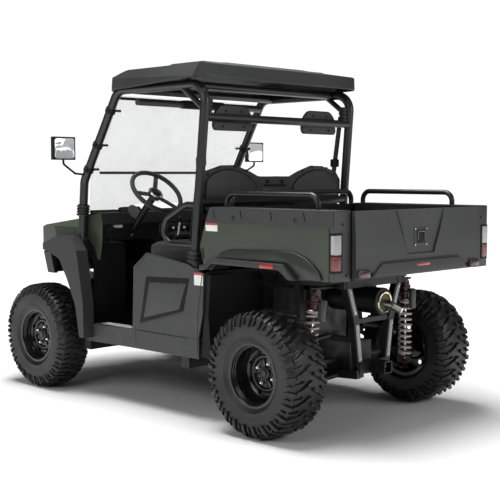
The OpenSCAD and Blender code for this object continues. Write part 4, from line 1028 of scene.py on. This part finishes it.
# Swell a closed form, hold every point within the cap, then sew channels into it
def stuffed(piece, channels, sunk=0.0045, width=0.006, allowed=None):
    modify(piece, "REMESH", mode="VOXEL", voxel_size=seatSim["voxel"])
    pick(piece)
    bpy.ops.object.modifier_add(type="SMOOTH")
    piece.modifiers[0].iterations = 4
    bpy.ops.object.modifier_apply(modifier=piece.modifiers[0].name)
    before = [v.co.copy() for v in piece.data.vertices]
    pick(piece)
    bpy.ops.object.modifier_add(type="CLOTH")
    cloth = piece.modifiers[0]
    cloth.settings.use_pressure = True
    cloth.settings.uniform_pressure_force = seatSim["pressure"]
    cloth.settings.effector_weights.gravity = 0
    cloth.settings.quality = 6
    cloth.point_cache.frame_start = 1
    cloth.point_cache.frame_end = seatSim["frames"]
    for frameNumber in range(1, seatSim["frames"] + 1):
        bpy.context.scene.frame_set(frameNumber)
    pick(piece)
    bpy.ops.object.modifier_apply(modifier=cloth.name)
    bpy.context.scene.frame_set(1)
    for vertex, old in zip(piece.data.vertices, before):
        moved = vertex.co - old
        if moved.length > seatSim["cap"]:
            vertex.co = old + moved.normalized() * seatSim["cap"]
    modify(piece, "SUBSURF", levels=1, render_levels=1)
    outward = [v.normal.copy() for v in piece.data.vertices]
    for vertex, normal in zip(piece.data.vertices, outward):
        depth = 0.0
        for low, high, place in channels:
            if all(low[k] <= vertex.co[k] <= high[k] for k in range(3)):
                depth = max(depth, math.exp(-(place(vertex.co) / width) ** 2))
        vertex.co -= normal * (depth * sunk)
        if allowed:
            allowed(vertex.co)
    pick(piece)
    bpy.ops.object.shade_smooth()
    return piece


def keepAbove(z):
    def hold(co):
        co.z = max(co.z, z)
    return hold


seatForm = {
    "cushion": [(-0.290, 0.811), (0.078, 0.811), (0.087, 0.906), (0.040, 0.922), (-0.290, 0.899)],
    "back": [(-0.303, 0.944), (-0.220, 0.951), (-0.281, 1.290), (-0.328, 1.301), (-0.356, 1.292), (-0.356, 1.200),
             (-0.322, 1.131)],
    "corner": 0.016, "sunk": 0.005, "seam": 0.007, "deck": 0.8045}
cushion = sideSlab("cushion", seatForm["cushion"], 0.020, 0.525, seatForm["corner"], 3)
low, high = (-1, 0.03, 0.88), (1, 0.535, 1)
cushion = stuffed(cushion, [(low, high, lambda c: c.y - 0.110), (low, high, lambda c: c.y - 0.455),
                            (low, high, lambda c: c.x - 0.030), (low, high, lambda c: c.x + 0.190)],
                  seatForm["sunk"], seatForm["seam"], keepAbove(seatForm["deck"]))
seatBack = sideSlab("back", seatForm["back"], 0.033, 0.488, seatForm["corner"], 3)
low, high = (-0.325, 0.03, 0.95), (1, 0.53, 1.29)
seatBack = stuffed(seatBack, [(low, high, lambda c: c.y - 0.125), (low, high, lambda c: c.y - 0.430),
                              (low, high, lambda c: c.z - 1.215), (low, high, lambda c: c.z - 1.010)],
                   seatForm["sunk"], seatForm["seam"])
for make, side in ((copied, "left"), (mirrored, "right")):
    for base, node in ((cushion, "seat_cushions"), (seatBack, "seat_backs")):
        made = make(base, f"{side}_{node}")
        shown(made, "root", "vinyl", (node,))
bpy.data.objects.remove(cushion)
bpy.data.objects.remove(seatBack)
print("seats done")

headrest = {"mid": Vector((-0.4104, 0.352, 1.600)), "wider": 1.12, "taller": 1.06, "corner": 0.055, "shell": 0.019,
            "pad": 0.023}
headOutline = rounded([(y * headrest["wider"], z * headrest["taller"]) for y, z in [
    (-0.133, -0.045), (-0.120, -0.062), (0.120, -0.062), (0.133, -0.045), (0.122, 0.028), (0.084, 0.066),
    (-0.084, 0.066), (-0.122, 0.028)]], headrest["corner"])
headMid = headrest["mid"]
headShell = backSlab("shell", [(headMid.y + y, headMid.z + z) for y, z in headOutline], headMid.x, headrest["shell"],
                     0.004, 3)
pair("headrest_shell", headShell, "root", "plastic")
headPad = backSlab("pad", [(headMid.y + y * 0.94, headMid.z + z * 0.92) for y, z in headOutline],
                   headMid.x + 0.0194, headrest["pad"], 0.009, 3)
headPad = stuffed(headPad, [((-1, 0, 0), (1, 1, 2), lambda c: c.z - 1.555)], 0.002, 0.006)
for make, side in ((copied, "left"), (mirrored, "right")):
    made = make(headPad, f"{side}_headrest_pad")
    shown(made, "root", "vinyl", ("headrests",))
bpy.data.objects.remove(headPad)
headBolts = bolts("bolts", [(headMid.x, headMid.y + y, headMid.z + z) for y, z in
                            ((-0.058, 0.040), (0.058, 0.040), (-0.080, -0.044), (0.080, -0.044))],
                  (-1, 0, 0), 0.0062, 0.004, 8)
pair("headrest_bolts", headBolts, "root", "darkPlastic")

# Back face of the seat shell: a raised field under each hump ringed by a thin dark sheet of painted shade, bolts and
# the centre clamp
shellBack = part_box("seat_shell")[0].x
field = backSlab("field", rounded([(0.150, 1.10), (0.150, 1.230), (0.190, 1.272), (0.260, 1.306), (0.330, 1.324),
                                   (0.410, 1.324), (0.480, 1.302), (0.532, 1.264), (0.545, 1.10)], 0.03),
                 shellBack + 0.001, -0.009, 0.005, 3)
pair("shell_field", field, "root", "plastic")
# dark sheet just outside the field: painted shade of the groove round it
shellGrooveShade = backSlab("gap", rounded([(0.143, 1.10), (0.143, 1.234), (0.186, 1.279), (0.258, 1.313), (0.329, 1.3305),
                                  (0.411, 1.3305), (0.483, 1.309), (0.538, 1.269), (0.552, 1.10)], 0.03),
                  shellBack - 0.0002, -0.0006, 0.0002)
pair("shell_groove", shellGrooveShade, "root", "darkPlastic")
shellBolts = bolts("bolts", [(shellBack, y, z) for y, z in ((0.232, 1.322), (0.318, 1.343), (0.447, 1.338),
                                                            (0.517, 1.301))],
                   (-1, 0, 0), 0.007, 0.005, 8)
pair("shell_bolts", shellBolts, "root", "darkPlastic")
bracket = [block("bar", (shellBack - 0.007, -0.088, 1.236), (shellBack, 0.088, 1.246), 0.002)]
for y in (-0.060, 0.060):
    bracket.append(boltHead("stud", (shellBack, y, 1.262), (-1, 0, 0), 0.011, 0.008))
shown(joined("shell_clamp", bracket), "root", "darkPlastic")
panel = backSlab("shell_centre", rounded([(-0.104, 1.10), (-0.104, 1.228), (0.104, 1.228), (0.104, 1.10)], 0.012),
                 shellBack + 0.001, -0.005, 0.003, 2)
shown(panel, "root", "plastic")
print("headrests and shell done")


# ---- cab fittings ----
wheelCentre, wheelUp = Vector((0.272, 0.320, 1.198)), Vector((-1, 0, 1)).normalized()
hub = turned("steering_hub", [(0.0, -0.004), (0.024, -0.0045), (0.030, -0.008), (0.033, -0.010), (0.0, -0.010)],
             wheelCentre, wheelUp, 40)
shown(hub, "steering_wheel", "darkPlastic")
hubRing = turned("steering_ring", [(0.029, -0.010), (0.031, -0.003), (0.038, -0.0025), (0.042, -0.0095)], wheelCentre,
                 wheelUp, 48)
shown(hubRing, "steering_wheel", "silver")
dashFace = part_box("dashboard")[0].x
pod = sideSlab("gauge_pod", [(dashFace + 0.012, 1.020), (dashFace + 0.045, 1.076), (dashFace + 0.060, 1.108),
                             (dashFace + 0.100, 1.100), (dashFace + 0.100, 1.020)], 0.245, 0.150, 0.010, 3)
shown(pod, "root", "darkPlastic")
dial = turned("gauge_dial", [(0.0, 0.0), (0.040, 0.0), (0.044, 0.004), (0.044, 0.008), (0.0, 0.008)],
              (dashFace + 0.040, 0.320, 1.074), (-0.9, 0, 0.46), 36)
shown(dial, "root", "silver")
panelFace = backSlab("switch_panel", rounded([(-0.150, 0.925), (-0.150, 1.000), (0.150, 1.000), (0.150, 0.925)], 0.012),
                     dashFace + 0.004, -0.008, 0.003)
shown(panelFace, "root", "plastic")
for i, y in enumerate((-0.045, 0.0, 0.045)):
    key = block(f"switch_{i}", (dashFace - 0.010, y - 0.014, 0.944), (dashFace - 0.003, y + 0.014, 0.984), 0.003)
    shown(key, "root", "darkPlastic")
    lit = block(f"switch_light_{i}", (dashFace - 0.0115, y - 0.008, 0.965), (dashFace - 0.0095, y + 0.008, 0.977),
                0.0006)
    shown(lit, "root", "switch")
vents = [turned("vent", [(0.018, 0.0), (0.030, 0.0), (0.032, 0.004), (0.032, 0.010), (0.016, 0.010)],
                (dashFace - 0.006, y, 0.962), (-1, 0, 0), 32) for y in (-0.118, 0.118, -0.480, 0.520)]
shown(joined("dash_vents", vents), "root", "darkPlastic")
lever = pipe("gear_lever", [(dashFace + 0.02, 0.030, 0.900), (dashFace - 0.035, 0.030, 0.925),
                            (dashFace - 0.055, 0.030, 1.010)],
             0.006, 0.02)
shown(lever, "root", "silver")
knob = turned("gear_knob", [(0.0, 0.0), (0.012, 0.002), (0.019, 0.016), (0.018, 0.030), (0.010, 0.040), (0.0, 0.042)],
              (dashFace - 0.055, 0.030, 1.004), (0, 0, 1), 24)
shown(knob, "root", "darkPlastic")
shown(block("dash_label", (dashFace + 0.006, 0.430, 0.985), (dashFace + 0.0075, 0.500, 1.005), 0.0003, 1), "root",
      blankLabel("dash_label", 1.001, labelRed))
cowl = sideSlab("cowl", [(0.612, 1.052), (0.472, 1.074), (0.4535, 1.012), (0.458, 0.930), (0.468, 0.860),
                         (0.480, 0.800),
                         (0.500, 0.800), (0.540, 0.880), (0.612, 0.930)], 0.5755, 0.006, 0.002)
pair("cowl_side", cowl, "root", "green")

# Belt reels' boots and the hanging buckle
reel = bellows("reel", (-0.421, 0.552, 1.612), (-0.421, 0.552, 1.700), 0.008, 0.0265, 4)
pair("belt_boot", reel, "root", "bootRubber")
buckle = block("buckle", (-0.374, 0.518, 1.345), (-0.350, 0.578, 1.392), 0.006)
pair("belt_buckle", buckle, "root", "darkPlastic")

# Windshield seam strips and lower seal
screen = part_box("windshield")
for name, z, high in (("seam", 1.302, 0.016), ("seal", screen[0].z + 0.004, 0.014),
                      ("header", screen[1].z - 0.024, 0.016)):
    share = (z - screen[0].z) / (screen[1].z - screen[0].z)
    x = screen[1].x + (screen[0].x - screen[1].x) * share
    shown(block("windshield_" + name, (x - 0.009, -0.560, z), (x + 0.005, 0.560, z + high), 0.003), "root",
          "bootRubber")
visor = pipe("roof_header_tube", [(0.225, -0.500, 1.712), (0.225, 0.500, 1.712)], 0.019)
shown(visor, "root", "frameGrey")
box = block("roof_header_box", (0.190, -0.160, 1.690), (0.250, 0.160, 1.738), 0.008)
shown(box, "root", "darkPlastic")

# Mirrors: rounded shell round a glass that shows a painted sky reflection
mirrorLow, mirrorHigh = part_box("side_mirrors")
glass = backSlab("glass", rounded([(0.716, 1.392), (0.716, 1.508), (0.850, 1.508), (0.850, 1.392)], 0.014),
                 mirrorLow.x + 0.0005, -0.0015, 0.0005)
pair("mirror_glass_painted_sky", glass, "root", "mirror")
print("cab fittings done")


# ---- roof forms ----
roofLow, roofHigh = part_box("roof")
channel = sideSlab("channel", [(-0.400, 1.868), (-0.370, 1.8995), (-0.250, 1.9165), (0.000, 1.9165), (0.070, 1.9015),
                               (0.150, 1.870)], 0.350, 0.085, 0.008, 3)
pair("roof_channel", channel, "root", "roofPlastic")
skirt = pipe("skirt", [(roofLow.x + 0.004, 0.0, roofHigh.z - 0.115), (roofLow.x + 0.004, 0.595, roofHigh.z - 0.115),
                       (roofLow.x + 0.044, 0.6590, roofHigh.z - 0.117), (0.250, 0.6480, roofHigh.z - 0.148)],
             0.0055, 0.01)
pair("roof_skirt", skirt, "root", "roofPlastic")
print("roof done")


# ---- plates on the rear frame arms ----
armBack = -1.0985          # just behind the frame arms' rear faces
armPlates = [backSlab("plate", outline, armBack, -0.0065, 0.002) for outline in (
    [(0.103, 0.335), (0.129, 0.335), (0.158, 0.530), (0.132, 0.530)],
    [(0.146, 0.580), (0.170, 0.580), (0.219, 0.720), (0.195, 0.720)])]
pair("frame_arm_plates", joined("plates", armPlates), "root", "guard")
armBolts = [(armBack - 0.006, y, z) for y, z in ((0.118, 0.350), (0.143, 0.515), (0.163, 0.595), (0.202, 0.705))]
pair("frame_arm_bolts", bolts("armBolts", armBolts, (-1, 0, 0), 0.007, 0.005), "root", "steel")
print("frame arm plates done")


# ---- exhaust ----
tailX = fromRear(-0.250)
capZ, boltCircle = 0.640, 0.050
mouthAt, aim = Vector((tailX - 0.062, -0.062, 0.597)), Vector((-0.032, -0.052, -0.034)).normalized()
endPlate = turned("muffler_end", [(0.0, 0.0), (0.060, 0.0), (0.0695, 0.003), (0.0708, 0.008), (0.0708, 0.020),
                                  (0.0, 0.020)],
                  (tailX - 0.0035, 0, 0.645), (1, 0, 0), 56)
shown(endPlate, "root", "frameBlack")
ring = turned("muffler_ring", [(0.043, 0.001), (0.046, -0.006), (0.054, -0.007), (0.0575, -0.003), (0.0575, 0.002),
                               (0.043, 0.002)],
              (tailX - 0.0055, 0, capZ), (1, 0, 0), 56)
shown(ring, "root", "brassy")
dish = turned("muffler_dish", [(0.0, -0.001), (0.043, -0.001), (0.043, 0.001), (0.0, 0.001)], (tailX - 0.005, 0, capZ),
              (1, 0, 0), 40)
shown(dish, "root", "brassDark")
caps = [(tailX - 0.011, boltCircle * math.sin(a), capZ + boltCircle * math.cos(a))
        for a in [i * math.pi / 3 + 0.3 for i in range(6)]]
shown(bolts("muffler_bolts", caps, (-1, 0, 0), 0.005, 0.004), "root", "steel")
outlet = pipe("muffler_outlet", [(tailX - 0.002, 0, 0.635), (tailX - 0.030, -0.010, 0.631), mouthAt],
              0.0206, 0.036, detail=6)
shown(outlet, "root", "pipeSteel")
mouth = turned("muffler_mouth", [(0.0165, -0.004), (0.0216, -0.004), (0.0216, 0.003), (0.0165, 0.003)],
               mouthAt, aim, 28)
shown(mouth, "root", "chrome")
# A black disc just inside the mouth paints the shade inside the pipe
boreShade = turned("muffler_bore_painted_shade", [(0.0, -0.001), (0.0170, -0.001), (0.0170, 0.0006), (0.0, 0.0006)],
              mouthAt + aim * 0.0012, aim, 24)
shown(boreShade, "root", "darkPlastic")
print("exhaust done")


# ---- camera, light and floor ----
studio = {"cameraAt": (-4.482, 4.347, 1.304), "yaw": -45.33, "pitch": -4.14, "lens": 75.78,
          "whiteFrom": 1.5, "whiteTo": 4.2, "fill": 0.10, "backdrop": 1.05}
deselect()
bpy.ops.object.camera_add(location=studio["cameraAt"])
camera = bpy.context.view_layer.objects.active
yaw, pitch = math.radians(studio["yaw"]), math.radians(studio["pitch"])
ahead = Vector((math.cos(pitch) * math.cos(yaw), math.cos(pitch) * math.sin(yaw), math.sin(pitch)))
camera.rotation_euler = ahead.to_track_quat("-Z", "Y").to_euler()
camera.data.lens = studio["lens"]
camera.data.sensor_width = 36
camera.data.clip_end = 200
bpy.context.scene.camera = camera

deselect()
bpy.ops.mesh.primitive_plane_add(size=60, location=(0, 0, 0))
floor = calledAs("studio_floor")
floorFinish = Finish("studio_floor", Roughness=0.9, Emission_Strength=1.0)
spread = floorFinish.node("ShaderNodeVectorMath", {"operation": "LENGTH"}, {0: floorFinish.spot}, "Value")
away = floorFinish.between(spread, studio["whiteFrom"], studio["whiteTo"])     # the floor fades to white far out
floorFinish.feed("Emission Color", floorFinish.blend(away, (0, 0, 0, 1), (0.97, 0.97, 0.97, 1)))
floorFinish.feed("Base Color", floorFinish.blend(floorFinish.noise(0.3, 2), (0.90, 0.90, 0.90, 1),
                                                 (0.93, 0.93, 0.93, 1)))
floor.data.materials.append(floorFinish.material)
floor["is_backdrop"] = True

world = bpy.data.worlds.new("studio")
bpy.context.scene.world = world
world.use_nodes = True
backdrop = world.node_tree.nodes["Background"]
seen = world.node_tree.nodes.new("ShaderNodeLightPath")
level = world.node_tree.nodes.new("ShaderNodeMapRange")
level.inputs["To Min"].default_value = studio["fill"]
level.inputs["To Max"].default_value = studio["backdrop"]
world.node_tree.links.new(seen.outputs["Is Camera Ray"], level.inputs["Value"])
world.node_tree.links.new(level.outputs["Result"], backdrop.inputs["Strength"])
backdrop.inputs["Color"].default_value = (1, 1, 1, 1)


def softBox(name, place, aim, size, power):
    deselect()
    bpy.ops.object.light_add(type="AREA", location=place)
    light = bpy.context.view_layer.objects.active
    light.name = name
    light.data.shape = "RECTANGLE"
    light.data.size, light.data.size_y = size
    light.data.energy = power
    light.rotation_euler = (Vector(aim) - Vector(place)).to_track_quat("-Z", "Y").to_euler()


for name, place, aim, size, power in (
        ("overhead", (0.2, 0.4, 5.2), (0, 0, 0.6), (3.6, 3.0), 440),
        ("leftSide", (-0.4, 5.2, 3.1), (0, 0, 0.8), (4.5, 1.6), 74),
        ("rearSide", (-5.4, -1.8, 2.6), (0, 0, 0.8), (3.0, 1.6), 70)):
    softBox(name, place, aim, size, power)
bpy.context.scene.view_settings.view_transform = "Standard"
print("studio ready")

low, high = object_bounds()
